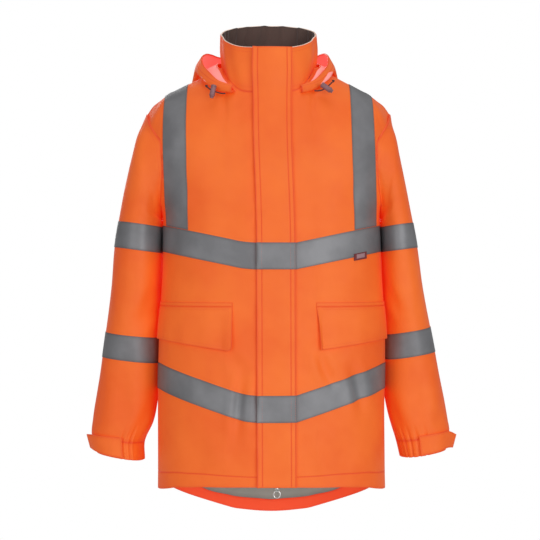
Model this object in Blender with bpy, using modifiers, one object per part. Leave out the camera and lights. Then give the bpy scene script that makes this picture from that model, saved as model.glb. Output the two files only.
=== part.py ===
"""Hi-vis work jacket: a long hooded parka, hollow and filled out as when it is worn.

Metres, +Z up, the front faces -Y. The origin is midway between the two points where the shoulder seams
meet the neck. Every cloth piece is a wall made from a grid of points on the garment's form.
"""
import math

import bpy
from mathutils import Vector

NAME = "work_jacket"

# Wall thicknesses and the small gaps between pieces
SHELL_WALL = 0.0016
FLAP_WALL = 0.0016
TAPE_WALL = 0.0005
LINING_WALL = 0.0010
WELT_WALL = 0.0012
TAB_WALL = 0.0006
LAYER_GAP = 0.0004
LINING_GAP = 0.0012
SEAM_HALF_GAP = 0.0006
SHOULDER_HALF_GAP = 0.0009
SLEEVE_CLEARANCE = 0.0042

# The torso: half width and depth by height, superellipse sections, and a dome above DOME_Z
SECTION_POWER = 2.5
DOME_Z = -0.220
#              z       half
HALF_WIDTH = ((-0.825, 0.2240), (-0.660, 0.2225), (-0.540, 0.2220), (-0.480, 0.2205), (-0.420, 0.2166),
              (-0.350, 0.2148), (-0.300, 0.2137), (-0.260, 0.2260), (-0.200, 0.2400), (-0.157, 0.2470),
              (-0.093, 0.2620))
#               z       depth
FRONT_DEPTH = ((-0.825, 0.1650), (-0.650, 0.1600), (-0.350, 0.1450), (-0.220, 0.1300))
BACK_DEPTH = ((-0.825, 0.1500), (-0.650, 0.1450), (-0.350, 0.1350), (-0.220, 0.1280))
#            |x|     z of the shoulder ridge
SHOULDER = ((0.000, 0.0469), (0.092, 0.0000), (0.200, -0.0551), (0.211, -0.0640), (0.2265, -0.0756),
            (0.239, -0.0930))
NECK_POINT_X = 0.092
#              |x|     z of the neckline
NECK_FRONT = ((0.000, -0.066), (0.0545, -0.058), (0.075, -0.036), (0.088, -0.012), (0.092, 0.000))
NECK_BACK = ((0.000, 0.012), (0.050, -0.002), (0.075, 0.000), (0.092, 0.000))
#           share   |x|     z        from the armpit up to the shoulder tip
ARMHOLE = ((0.00, 0.2137, -0.300), (0.12, 0.2120, -0.272), (0.25, 0.2072, -0.235), (0.42, 0.2050, -0.195),
           (0.60, 0.2065, -0.155), (0.78, 0.2190, -0.136), (0.90, 0.2305, -0.117), (1.00, 0.2390, -0.093))
UPPER_START = 0.25
UPPER_SHARES = (0.00, 0.12, 0.25, 0.42, 0.60, 0.78, 0.90, 1.00)
ARMPIT_ROW = ((0.045, -0.310), (0.2025, -0.300))
# The garment hangs a little to the wearer's right at the shoulders
LEAN = 0.006
LEAN_FROM_Z = -0.350
LEAN_HEIGHT = 0.250

# Columns of the panels
#         z       x of the zip
ZIP_X = ((-0.804, 0.0100), (0.026, 0.0075))
ZIP_HALF_GAP = 0.0040
FLAP_HALF_WIDTH = 0.0370
BACK_INNER = 0.030
BRACE_INNER = 0.1575
BRACE_OUTER = 0.2025
PANEL_COLUMNS = (0.057, 0.0765, 0.0935, 0.125, BRACE_INNER, 0.180, BRACE_OUTER)
EDGE_STEPS = 3
POCKET_IN, POCKET_OUT = 3, 10
BRACE_FROM, BRACE_TO = 6, 8

# Rows of the fronts, from the hem up: each is |x| and z where the row bends
FRONT_ROWS = {
    "hem": ((0.045, -0.804), (0.130, -0.806), (0.185, -0.812), (0.224, -0.825)),
    "lower_bottom": ((0.045, -0.684), (0.214, -0.630)),
    "lower_top": ((0.045, -0.634), (0.214, -0.580)),
    "flap_bottom": ((0.045, -0.5565), (0.214, -0.533)),
    "flap_top": ((0.0, -0.469),),
    "welt_top": ((0.0, -0.461),),
    "chest_bottom": ((0.045, -0.399), (0.214, -0.364)),
    "chest_top": ((0.045, -0.349), (0.214, -0.313)),
}
BACK_ROWS = {
    "hem": ((0.0, -0.903), (0.078, -0.8965), (0.123, -0.882),
            (0.157, -0.868), (0.195, -0.850), (0.220, -0.825)),
    "facing_top": ((0.0, -0.878), (0.070, -0.8725), (0.1325, -0.857), (0.191, -0.826),
                   (0.220, -0.800)),
    "lower_bottom": ((0.0, -0.650), (0.214, -0.630)),
    "lower_top": ((0.0, -0.600), (0.214, -0.580)),
    "waist": ((0.0, -0.480), (0.214, -0.470)),
    "chest_bottom": ((0.0, -0.360), (0.214, -0.364)),
    "chest_top": ((0.0, -0.310), (0.214, -0.313)),
}
BACK_ARMPIT_ROW = ((0.0, -0.290), (0.2025, -0.300))

# Collar: the top edge by station, from the zip round to the centre back. Its base lies on the panel's
# neckline at the column given; the first two stations take their top x from the zip and the flap edge.
#            side column  top x    top y    top z
COLLAR_TOP = ((-1, 0.0, None, -0.0915, 0.0260), (-1, 1.0, None, -0.0855, 0.0265),
              (-1, 2.0, 0.0620, -0.0690, 0.0320), (-1, 3.0, 0.0810, -0.0440, 0.0430),
              (-1, 3.5, 0.0915, -0.0170, 0.0560), (-1, 4.0, 0.0955, 0.0100, 0.0670),
              (1, 3.5, 0.0920, 0.0330, 0.0755), (1, 3.0, 0.0790, 0.0540, 0.0840),
              (1, 2.0, 0.0480, 0.0720, 0.0915), (1, 0.0, 0.0000, 0.0780, 0.0950))
COLLAR_LIFT = 0.0012
COLLAR_BULGE = 0.0020

# Sleeves: the outer and the inner line in X and Z, the centre and half depth in Y
#                 out x   out z    in x    in z     mid y  half depth
SLEEVE_RIGHT = ((0.2620, -0.1280, 0.2160, -0.3015, 0.000, 0.0790),
                (0.2750, -0.1750, 0.2160, -0.3045, 0.002, 0.0830),
                (0.2880, -0.2350, 0.2160, -0.3095, 0.004, 0.0850),
                (0.3000, -0.3045, 0.2160, -0.3160, 0.006, 0.0850),
                (0.3085, -0.3550, 0.2165, -0.3670, 0.008, 0.0840),
                (0.3190, -0.4500, 0.2190, -0.4630, 0.012, 0.0800),
                (0.3280, -0.5215, 0.2215, -0.5330, 0.014, 0.0770),
                (0.3345, -0.5700, 0.2235, -0.5830, 0.014, 0.0740),
                (0.3450, -0.6450, 0.2265, -0.6550, 0.012, 0.0680),
                (0.3520, -0.6930, 0.2350, -0.7030, 0.008, 0.0610),
                (0.3550, -0.7240, 0.2520, -0.7380, 0.004, 0.0550),
                (0.3460, -0.7570, 0.2530, -0.7740, 0.000, 0.0500))
SLEEVE_LEFT = ((0.2420, -0.1280, 0.2160, -0.3015, 0.000, 0.0790),
               (0.2510, -0.1710, 0.2160, -0.3045, 0.002, 0.0830),
               (0.2630, -0.2300, 0.2160, -0.3095, 0.004, 0.0850),
               (0.2775, -0.3075, 0.2160, -0.3160, 0.006, 0.0850),
               (0.2864, -0.3560, 0.2165, -0.3650, 0.008, 0.0840),
               (0.3036, -0.4550, 0.2190, -0.4650, 0.012, 0.0800),
               (0.3141, -0.5114, 0.2215, -0.5270, 0.014, 0.0770),
               (0.3230, -0.5600, 0.2235, -0.5760, 0.014, 0.0740),
               (0.3390, -0.6450, 0.2265, -0.6570, 0.012, 0.0680),
               (0.3470, -0.6930, 0.2365, -0.7050, 0.008, 0.0610),
               (0.3510, -0.7165, 0.2470, -0.7350, 0.004, 0.0550),
               (0.3450, -0.7520, 0.2560, -0.7680, 0.000, 0.0500))
RING_POWER = 2.3
RING_SHARES = (1.0, 0.9, 0.78, 0.69, 0.60, 0.51, 0.42, 0.33, 0.25, 0.12, 0.0)
SLEEVE_SEAM = Vector((0.0020, 0.0, 0.0))
ARMPIT_LIFT = 0.0030
UPPER_TAPE_ROWS = (4, 5)
LOWER_TAPE_ROWS = (7, 8)
CUFF_ROW = 11
CUFF_SEAM_SHARE = 0.05
# Cuff tab: ring column, row of the top edge, row of the bottom edge, how far it stands off the sleeve
TAB_COLUMNS = ((5.6, 10.78, 11.94, 0.0026), (4.4, 10.80, 11.93, 0.0030), (3.2, 10.84, 11.88, 0.0034),
               (2.0, 10.88, 11.82, 0.0042))
TAB_END = ((0.3625, -0.016, -0.7225), (0.3560, -0.012, -0.7490))

# Hood, folded down behind: plan angle from the centre back, then radius and height of three edges
#        angle  fold r  fold z   outer r outer z  rim r   rim z
HOOD = ((0, 0.168, -0.235, 0.215, -0.110, 0.150, 0.035),
        (15, 0.172, -0.228, 0.216, -0.107, 0.150, 0.035),
        (30, 0.175, -0.188, 0.213, -0.095, 0.148, 0.036),
        (45, 0.176, -0.138, 0.205, -0.072, 0.142, 0.036),
        (60, 0.163, -0.085, 0.182, -0.044, 0.134, 0.037),
        (75, 0.134, -0.048, 0.155, -0.013, 0.130, 0.032),
        (90, 0.124, -0.036, 0.142, -0.004, 0.130, 0.020),
        (105, 0.129, -0.042, 0.143, -0.017, 0.131, 0.001),
        (119, 0.132, -0.049, 0.141, -0.035, 0.130, -0.017),
        (132, 0.129, -0.056, 0.135, -0.048, 0.127, -0.036),
        (146, 0.122, -0.062, 0.124, -0.055, 0.118, -0.048))
#               angle  radius of the neckline in plan
NECK_RADIUS = ((0, 0.063), (42, 0.0745), (65, 0.083), (90, 0.0935),
               (117, 0.0985), (135, 0.107), (150, 0.1095))
HOOD_FROM_NECK = 0.0070
#                angle  gap
HOOD_BODY_GAP = ((75, 0.0125), (105, 0.0045))
FOLD_ROUNDING = 0.16
HOOD_LINING_LIFT = 0.0031
HOOD_LINING_FROM = 3
HOOD_WIDTH_RIGHT = 1.02
HOOD_WIDTH_LEFT = 0.93
HOOD_PROFILE_STEPS = 8

# Draw cords at the hood's front corners, through a barrel lock to a knot
CORD_DIAMETER = 0.0026
CORD_POINTS = 9
CORD_ROUTES = {
    "r": ((-0.0880, -0.1010, -0.0640), (-0.0950, -0.1010, -0.0640), (-0.1030, -0.1030, -0.0622),
          (-0.1115, -0.1035, -0.0590), (-0.1180, -0.1030, -0.0555), (-0.1218, -0.1018, -0.0520)),
    "l": ((0.0820, -0.0990, -0.0585), (0.0890, -0.1010, -0.0590), (0.0965, -0.1020, -0.0575),
          (0.1040, -0.1020, -0.0528), (0.1105, -0.1020, -0.0475), (0.1155, -0.1015, -0.0425)),
}
# Each lock's middle, and the way its barrel points
CORD_LOCK = {
    "r": ((-0.1115, -0.1035, -0.0590), (-0.20, 0.0, -1.0)),
    "l": ((0.1040, -0.1020, -0.0528), (0.83, 0.0, -0.56)),
}
LOCK_LENGTH = 0.0225
LOCK_RADIUS = 0.0052
LOCK_HOLE_RADIUS = 0.0024
KNOT_RADIUS = 0.0027

# Zip slider and its ring, at the bottom of the zip
SLIDER_SIZE = Vector((0.0085, 0.0046, 0.0042))
SLIDER_Z = -0.8067
RING_RADIUS = 0.0062
RING_WIRE = 0.0011
PULL_AXIS_Z = -0.8107
PULL_BARREL_RADIUS = 0.0016
PULL_BARREL_LENGTH = 0.0060

for old in list(bpy.data.objects):
    bpy.data.objects.remove(old, do_unlink=True)
parts = bpy.data.collections.new(NAME)
bpy.context.scene.collection.children.link(parts)
cutters = bpy.data.collections.new(NAME + "_cutters")
bpy.context.scene.collection.children.link(cutters)


# ---------------------------------------------------------------- helpers
def material(name, colour, roughness, metallic=0.0):
    finish = bpy.data.materials.new(name)
    finish.use_nodes = True
    shader = finish.node_tree.nodes["Principled BSDF"]
    shader.inputs["Base Color"].default_value = (*colour, 1.0)
    shader.inputs["Roughness"].default_value = roughness
    shader.inputs["Metallic"].default_value = metallic
    return finish


def look(table, key):
    """Straight-line reading of a two-column table, held at its ends."""
    if key <= table[0][0]:
        return table[0][1]
    for (low, start), (high, end) in zip(table, table[1:]):
        if key <= high:
            return start + (end - start) * (key - low) / (high - low)
    return table[-1][1]


def triangles(rows, columns, wrap):
    """Fixed-diagonal triangles of a grid, so that layers moved off the same grid never cross it."""
    for row in range(rows - 1):
        for column in range(columns if wrap else columns - 1):
            beside = (column + 1) % columns
            here, right = row * columns + column, row * columns + beside
            above, far = here + columns, right + columns
            yield (here, right, far)
            yield (here, far, above)


def grid_normals(points, wrap=False):
    rows, columns = len(points), len(points[0])
    flat = [point for row in points for point in row]
    sums = [Vector() for _ in flat]
    for a, b, c in triangles(rows, columns, wrap):
        face = (flat[b] - flat[a]).cross(flat[c] - flat[a])
        for corner in (a, b, c):
            sums[corner] += face
    return [[sums[row * columns + column].normalized() for column in range(columns)] for row in range(rows)]


class Form:
    """A grid of points with normals that face away from an inner point."""

    def __init__(self, points, inside, wrap=False):
        self.points = points
        normals = grid_normals(points, wrap)
        facing = sum((p - inside).dot(n) for row, ns in zip(points, normals) for p, n in zip(row, ns))
        sign = 1.0 if facing > 0 else -1.0
        self.normals = [[n * sign for n in row] for row in normals]

    def spot(self, row, column, lift=0.0):
        """A point between grid points, moved out by lift."""
        r0, c0 = min(int(row), len(self.points) - 2), min(int(column), len(self.points[0]) - 2)
        fr, fc = row - r0, column - c0
        found, normal = Vector(), Vector()
        for dr, wr in ((0, 1 - fr), (1, fr)):
            for dc, wc in ((0, 1 - fc), (1, fc)):
                found += self.points[r0 + dr][c0 + dc] * (wr * wc)
                normal += self.normals[r0 + dr][c0 + dc] * (wr * wc)
        return found + normal.normalized() * lift

    def patch(self, rows, columns, lift):
        return [[self.spot(row, column, lift) for column in columns] for row in rows]

    def ring(self, rows, lift):
        """Whole rows of a closed form, moved out."""
        return [[p + n * lift for p, n in zip(self.points[row], self.normals[row])] for row in rows]


def sheet(name, points, facing, wall, grow, finish, wrap=False):
    """A cloth wall: the grid's triangles, thickened by Solidify inwards (-1) or outwards (+1)."""
    rows, columns = len(points), len(points[0])
    faces = list(triangles(rows, columns, wrap))
    normals = grid_normals(points, wrap)
    middle, across = rows // 2, columns // 2
    if normals[middle][across].dot(facing) < 0:
        faces = [face[::-1] for face in faces]
    mesh = bpy.data.meshes.new(name)
    mesh.from_pydata([tuple(point) for row in points for point in row], [], faces)
    mesh.materials.append(finish)
    mesh.shade_smooth()
    made = bpy.data.objects.new(name, mesh)
    parts.objects.link(made)
    wall_maker = made.modifiers.new("Wall", "SOLIDIFY")
    wall_maker.thickness = wall
    wall_maker.offset = grow
    return made


def smooth_curve(knots, count):
    """Points at even parameter along a Catmull-Rom curve through the knots."""
    found = []
    spans = len(knots) - 1
    for index in range(count):
        place = spans * index / (count - 1)
        span = min(int(place), spans - 1)
        t = place - span
        p0, p1 = knots[max(span - 1, 0)], knots[span]
        p2, p3 = knots[span + 1], knots[min(span + 2, spans)]
        found.append(0.5 * (2 * p1 + (p2 - p0) * t + (2 * p0 - 5 * p1 + 4 * p2 - p3) * t ** 2
                            + (3 * p1 - p0 - 3 * p2 + p3) * t ** 3))
    return found


def lean(point):
    share = min(max((point.z - LEAN_FROM_Z) / LEAN_HEIGHT, 0.0), 1.0)
    return point - Vector((LEAN * share * share * (3 - 2 * share), 0.0, 0.0))


ORANGE = material("orange_cloth", (0.87, 0.11, 0.02), 0.8)
FACING_CLOTH = material("facing_cloth", (0.86, 0.07, 0.02), 0.8)
TAPE = material("reflective_tape", (0.20, 0.20, 0.19), 0.5)
LINING = material("grey_lining", (0.22, 0.24, 0.23), 0.9)
COLLAR_LINING = material("collar_lining", (0.08, 0.065, 0.055), 0.9)
PINK = material("pink_lining", (0.90, 0.30, 0.25), 0.8)
CORD = material("dark_cord", (0.05, 0.02, 0.02), 0.8)
LOCK = material("mauve_plastic", (0.25, 0.13, 0.13), 0.5)
METAL = material("zip_metal", (0.60, 0.60, 0.60), 0.35, 1.0)
LABEL = material("tab_cloth", (0.18, 0.03, 0.03), 0.8)


# ---------------------------------------------------------------- torso form
def body_point(x, z, side):
    """On the front (side -1) or the back (side 1) of the torso, at any x and z inside its outline."""
    spread = min(abs(x) / look(HALF_WIDTH, z), 1.0)
    depth = look(FRONT_DEPTH if side < 0 else BACK_DEPTH, z)
    y = depth * (1 - spread ** SECTION_POWER) ** (1 / SECTION_POWER)
    if z > DOME_Z:
        rise = min((z - DOME_Z) / (look(SHOULDER, abs(x)) - DOME_Z), 1.0)
        y = max(y * math.sqrt(1 - rise * rise), SHOULDER_HALF_GAP)
    return Vector((x, side * max(y, SEAM_HALF_GAP), z))


def neck_z(x, side):
    return look(NECK_FRONT if side < 0 else NECK_BACK, abs(x))


def side_columns(row, hand, side):
    """The columns from the brace's outer edge round to the side seam, by equal angles of the section."""
    half = look(HALF_WIDTH, row[-1][1])
    first = math.asin((BRACE_OUTER / half) ** (SECTION_POWER / 2))
    found = []
    for step in range(1, EDGE_STEPS + 1):
        angle = first + (math.pi / 2 - first) * step / EDGE_STEPS
        z = look(row, half * math.sin(angle) ** (2 / SECTION_POWER))
        x = look(HALF_WIDTH, z) * math.sin(angle) ** (2 / SECTION_POWER)
        depth = look(FRONT_DEPTH if side < 0 else BACK_DEPTH, z)
        y = depth * max(math.cos(angle), 0.0) ** (2 / SECTION_POWER)
        found.append(lean(Vector((hand * x, side * max(y, SEAM_HALF_GAP), z))))
    return found


def upper_z(x, share, side):
    """Height of an upper row at x: straight to DOME_Z, then by equal angles over the dome."""
    start = look(ARMPIT_ROW if side < 0 else BACK_ARMPIT_ROW, abs(x))
    if share <= UPPER_START:
        return start + (DOME_Z - start) * share / UPPER_START
    reach = look(SHOULDER, abs(x)) - DOME_Z
    top = math.pi / 2
    if abs(x) < NECK_POINT_X:
        top = math.asin((neck_z(x, side) - DOME_Z) / reach)
    return DOME_Z + reach * math.sin(top * (share - UPPER_START) / (1 - UPPER_START))


def armhole_columns(share, hand, side):
    """The columns from the brace's outer edge to the armhole."""
    edge_x = look([(row[0], row[1]) for row in ARMHOLE], share)
    edge_z = look([(row[0], row[2]) for row in ARMHOLE], share)
    inner_z = upper_z(BRACE_OUTER, share, side)
    found = []
    for step in range(1, EDGE_STEPS + 1):
        x = BRACE_OUTER + (edge_x - BRACE_OUTER) * step / EDGE_STEPS
        z = inner_z + (edge_z - inner_z) * step / EDGE_STEPS
        if share == 1.0:
            z = look(SHOULDER, x)
        found.append(lean(body_point(hand * x, z, side)))
    return found


def half_panel(rows, hand, side, inner_columns):
    """One half of the torso's front or back: rows from the hem up, columns from the centre out."""
    grid = []
    for row in rows.values():
        line = []
        for x in inner_columns(look(row, 0.0), hand) + [hand * u for u in PANEL_COLUMNS]:
            line.append(lean(body_point(x, look(row, abs(x)), side)))
        grid.append(line + side_columns(row, hand, side))
    armpit = ARMPIT_ROW if side < 0 else BACK_ARMPIT_ROW
    for share in UPPER_SHARES:
        line = []
        for x in inner_columns(upper_z(0.0, share, side), hand) + [hand * u for u in PANEL_COLUMNS]:
            line.append(lean(body_point(x, upper_z(x, share, side), side)))
        edge = side_columns(armpit, hand, side) if share == 0.0 else armhole_columns(share, hand, side)
        grid.append(line + edge)
    return grid


def zip_columns(z, hand):
    return [look(ZIP_X, z) + hand * ZIP_HALF_GAP, look(ZIP_X, z) + hand * FLAP_HALF_WIDTH]


def back_columns(z, hand):
    return [0.0, hand * BACK_INNER]


INSIDE = Vector((0.0, 0.0, -0.40))
FORWARD, BACKWARD = Vector((0, -1, 0)), Vector((0, 1, 0))
HANDS = {"right": -1, "left": 1}
fronts = {}
for hand_name, hand in HANDS.items():
    fronts[hand_name] = Form(half_panel(FRONT_ROWS, hand, -1, zip_columns), INSIDE)
    sheet("front_" + hand_name, fronts[hand_name].points, FORWARD, SHELL_WALL, -1, ORANGE)

back_halves = [half_panel(BACK_ROWS, hand, 1, back_columns) for hand in (-1, 1)]
back = Form([right[:0:-1] + left for right, left in zip(*back_halves)], INSIDE)
sheet("back", back.points, BACKWARD, SHELL_WALL, -1, ORANGE)


# ---------------------------------------------------------------- tapes, pockets and lining on the panels
TAPE_LIFT = LAYER_GAP
UNDER_LIFT = -(SHELL_WALL + LINING_GAP)
FRONT_ACROSS = [0.25, *range(1, 11), 10.98]
BACK_CENTRE = 11
BACK_ACROSS = [0.02, *range(1, 22), 21.98]
LOWER_ROW, FLAP_ROW, WELT_ROW, CHEST_ROW = 1, 3, 5, 6
BACK_LOWER_ROW, BACK_CHEST_ROW = 2, 5
FRONT_TOP_ROW = len(FRONT_ROWS) + len(UPPER_SHARES) - 1
BACK_TOP_ROW = len(BACK_ROWS) + len(UPPER_SHARES) - 1
SEAM_SHARE = 0.03
POCKET_COLUMNS = range(POCKET_IN, POCKET_OUT + 1)
FLAP_PROUD = 0.0032
FLAP_PROUD_AT_END = 0.0030
FLAP_IN_SHIFT = {"right": -0.20, "left": 0.43}
LEFT_FLAP_SLANT = 0.40


def brace_rows(low, high):
    """Rows of a shoulder tape, just clear of the chest tape below and of the shoulder seam above."""
    return [low + SEAM_SHARE, *range(low + 1, high), high - SEAM_SHARE]


for hand_name, hand in HANDS.items():
    front = fronts[hand_name]
    chest = front.patch((CHEST_ROW, CHEST_ROW + 1), FRONT_ACROSS, TAPE_LIFT)
    sheet("chest_tape_front_" + hand_name, chest, FORWARD, TAPE_WALL, 1, TAPE)
    lower = front.patch((LOWER_ROW, LOWER_ROW + 1), FRONT_ACROSS, TAPE_LIFT)
    sheet("lower_tape_front_" + hand_name, lower, FORWARD, TAPE_WALL, 1, TAPE)
    brace = front.patch(brace_rows(CHEST_ROW + 1, FRONT_TOP_ROW), range(BRACE_FROM, BRACE_TO + 1), TAPE_LIFT)
    sheet("brace_tape_front_" + hand_name, brace, FORWARD, TAPE_WALL, 1, TAPE)

    welt_columns = [POCKET_IN + FLAP_IN_SHIFT[hand_name], *POCKET_COLUMNS[1:]]
    welt = front.patch((FLAP_ROW + 1.06, WELT_ROW), welt_columns, LAYER_GAP)
    sheet("pocket_welt_" + hand_name, welt, FORWARD, WELT_WALL, 1, ORANGE)
    flap = []
    for row, drop in ((FLAP_ROW, 1.0), (FLAP_ROW + 0.5, 0.6), (FLAP_ROW + 0.995, 0.0)):
        line = []
        for column in POCKET_COLUMNS:
            end = 1.0 if column == POCKET_IN else 0.0
            slant = LEFT_FLAP_SLANT * drop * end if hand > 0 else 0.0
            lift = LAYER_GAP + FLAP_PROUD * drop + FLAP_PROUD_AT_END * drop * end
            line.append(front.spot(row, column + slant + FLAP_IN_SHIFT[hand_name] * end, lift))
        flap.append(line)
    sheet("pocket_flap_" + hand_name, flap, FORWARD, FLAP_WALL, 1, ORANGE)
    bag = front.patch((2.1, 3, 3.95), (3, 5, 6, 7, 8, 9), UNDER_LIFT)
    sheet("pocket_bag_" + hand_name, bag, FORWARD, LINING_WALL, -1, LINING)

tab_lift = TAPE_LIFT + TAPE_WALL + LAYER_GAP
chest_tab = fronts["left"].patch((CHEST_ROW - 0.08, CHEST_ROW, CHEST_ROW + 0.12), (5.92, 6, 6.98), tab_lift)
sheet("chest_tab", chest_tab, FORWARD, TAB_WALL, 1, LABEL)

back_chest = back.patch((BACK_CHEST_ROW, BACK_CHEST_ROW + 1), BACK_ACROSS, TAPE_LIFT)
sheet("chest_tape_back", back_chest, BACKWARD, TAPE_WALL, 1, TAPE)
back_lower = back.patch((BACK_LOWER_ROW, BACK_LOWER_ROW + 1), BACK_ACROSS, TAPE_LIFT)
sheet("lower_tape_back", back_lower, BACKWARD, TAPE_WALL, 1, TAPE)
for hand_name, columns in (("right", (3, 4, 5)), ("left", (17, 18, 19))):
    brace = back.patch(brace_rows(BACK_CHEST_ROW + 1, BACK_TOP_ROW), columns, TAPE_LIFT)
    sheet("brace_tape_back_" + hand_name, brace, BACKWARD, TAPE_WALL, 1, TAPE)
# Facing and lining end short of the side seams; the lining hangs a little further in
LINING_ACROSS = (0.6, 2, 3, 5, 7, 9, 11, 13, 15, 17, 19, 20, 21.4)
FACING_ROWS = (0.02, 0.98)
LINING_ROWS = (1, 4, 7, 9, 10, 11, 12, BACK_TOP_ROW - 0.6)
LINING_SLACK = 0.0008
facing = back.patch(FACING_ROWS, LINING_ACROSS, UNDER_LIFT)
sheet("hem_facing", facing, BACKWARD, LINING_WALL, -1, FACING_CLOTH)
lining = back.patch(LINING_ROWS, LINING_ACROSS, UNDER_LIFT - LINING_SLACK)
sheet("back_lining", lining, BACKWARD, LINING_WALL, -1, LINING)


# ---------------------------------------------------------------- collar
def collar_half(hand_name, hand):
    """Base, middle and top points at each station, from the zip edge round to the centre back."""
    found = []
    for side, column, x, y, z in COLLAR_TOP:
        if side < 0:
            base = fronts[hand_name].spot(FRONT_TOP_ROW, column)
        else:
            base = back.spot(BACK_TOP_ROW, BACK_CENTRE + hand * column)
        if column == SHOULDER_COLUMN:
            base.y = 0.0
        base.z += COLLAR_LIFT
        top_x = zip_columns(ZIP_X[1][0], hand)[int(column)] if x is None else hand * x
        top = lean(Vector((top_x, y, z)))
        middle = (base + top) / 2
        out = Vector((middle.x, middle.y, 0.0))
        found.append([base, middle + out.normalized() * COLLAR_BULGE, top])
    return found


SHOULDER_COLUMN = 4.0
collar_stations = collar_half("right", -1) + collar_half("left", 1)[-2::-1]
COLLAR_LAST = len(collar_stations) - 1
collar = Form([[station[level] for station in collar_stations] for level in range(3)], Vector((0, 0, 0.02)))
sheet("collar_outer", collar.points, BACKWARD, SHELL_WALL, -1, ORANGE)
collar_inside = collar.patch((0.02, 2), range(COLLAR_LAST + 1), UNDER_LIFT)
sheet("collar_lining", collar_inside, BACKWARD, LINING_WALL, -1, COLLAR_LINING)


# ---------------------------------------------------------------- zip and storm flap
def centre_line(row, lift):
    """The four columns at the centre front on one row of the fronts: flap edge, zip edges, flap edge."""
    columns = (("right", 1), ("right", 0), ("left", 0), ("left", 1))
    return [fronts[hand_name].spot(row, column, lift) for hand_name, column in columns]


def collar_centre_line(level, lift):
    return [collar.spot(level, column, lift) for column in (1, 0, COLLAR_LAST, COLLAR_LAST - 1)]


FLAP_REST = 0.0007
FLAP_LIFT = TAPE_LIFT + TAPE_WALL + FLAP_REST
NECK_PUSH = Vector((0.0, -0.0015, 0.0))
flap_rows = [centre_line(row, FLAP_LIFT) for row in range(FRONT_TOP_ROW)]
neck_row = zip(centre_line(FRONT_TOP_ROW, FLAP_LIFT), collar_centre_line(0, FLAP_LIFT))
flap_rows.append([(low + high) / 2 + NECK_PUSH for low, high in neck_row])
flap_rows += [collar_centre_line(1, FLAP_LIFT), collar_centre_line(2, FLAP_LIFT)]
sheet("storm_flap", flap_rows, FORWARD, FLAP_WALL, 1, ORANGE)
flap_inner = Form(flap_rows, INSIDE)
flap_outer = Form(flap_inner.ring(range(len(flap_rows)), FLAP_WALL), INSIDE)
for name, row in (("chest_tape_flap", CHEST_ROW), ("lower_tape_flap", LOWER_ROW)):
    sheet(name, flap_outer.patch((row, row + 1), range(4), TAPE_LIFT), FORWARD, TAPE_WALL, 1, TAPE)

ZIP_INSET = 0.07
ZIP_DEPTH = 0.0012
ZIP_LIFT = -0.0002
zip_rows = [centre_line(row, ZIP_LIFT)[1:3] for row in range(FRONT_TOP_ROW + 1)]
zip_rows += [collar_centre_line(level, ZIP_LIFT)[1:3] for level in (1, 2)]
zip_strip = [[right.lerp(left, ZIP_INSET), right.lerp(left, 1 - ZIP_INSET)] for right, left in zip_rows]
sheet("zip", zip_strip, FORWARD, ZIP_DEPTH, -1, METAL)


# ---------------------------------------------------------------- sleeves and cuffs
def signed_power(value, power):
    return math.copysign(abs(value) ** power, value)


def off_the_torso(point):
    """Push a sleeve point out sideways until it is clear of the torso's section."""
    if point.z > -0.285:
        return point
    z = min(point.z, -0.300)
    depth = look(FRONT_DEPTH if point.y < 0 else BACK_DEPTH, z)
    spread = min(abs(point.y) / depth, 1.0)
    edge = look(HALF_WIDTH, z) * (1 - spread ** SECTION_POWER) ** (1 / SECTION_POWER) + SLEEVE_CLEARANCE
    if abs(point.x) < edge:
        return Vector((math.copysign(edge, point.x), point.y, point.z))
    return point


def armhole_ring(hand):
    ring = []
    count = len(RING_SHARES) - 1
    for index in range(2 * count):
        side = -1 if index <= count else 1
        share = RING_SHARES[index if index <= count else 2 * count - index]
        x = look([(row[0], row[1]) for row in ARMHOLE], share)
        z = look([(row[0], row[2]) for row in ARMHOLE], share)
        point = body_point(hand * x, z, side)
        if index in (0, count):
            point.y = 0.0
        point = lean(point) + hand * SLEEVE_SEAM
        point.z += ARMPIT_LIFT * (1 - share) ** 4
        ring.append(point)
    return ring


def sleeve_form(hand, table):
    rings = [armhole_ring(hand)]
    count = len(rings[0])
    for out_x, out_z, in_x, in_z, middle_y, half_depth in table:
        outer, inner = Vector((hand * out_x, 0, out_z)), Vector((hand * in_x, 0, in_z))
        centre, reach = (outer + inner) / 2, (outer - inner) / 2
        ring = []
        for index in range(count):
            angle = 2 * math.pi * index / count
            along = signed_power(math.cos(angle), 2 / RING_POWER)
            across = signed_power(math.sin(angle), 2 / RING_POWER)
            point = centre + reach * along + Vector((0, middle_y - half_depth * across, 0))
            ring.append(off_the_torso(point))
        rings.append(ring)
    points = [point for ring in rings for point in ring]
    return Form(rings, sum(points, Vector()) / len(points), True)


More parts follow.
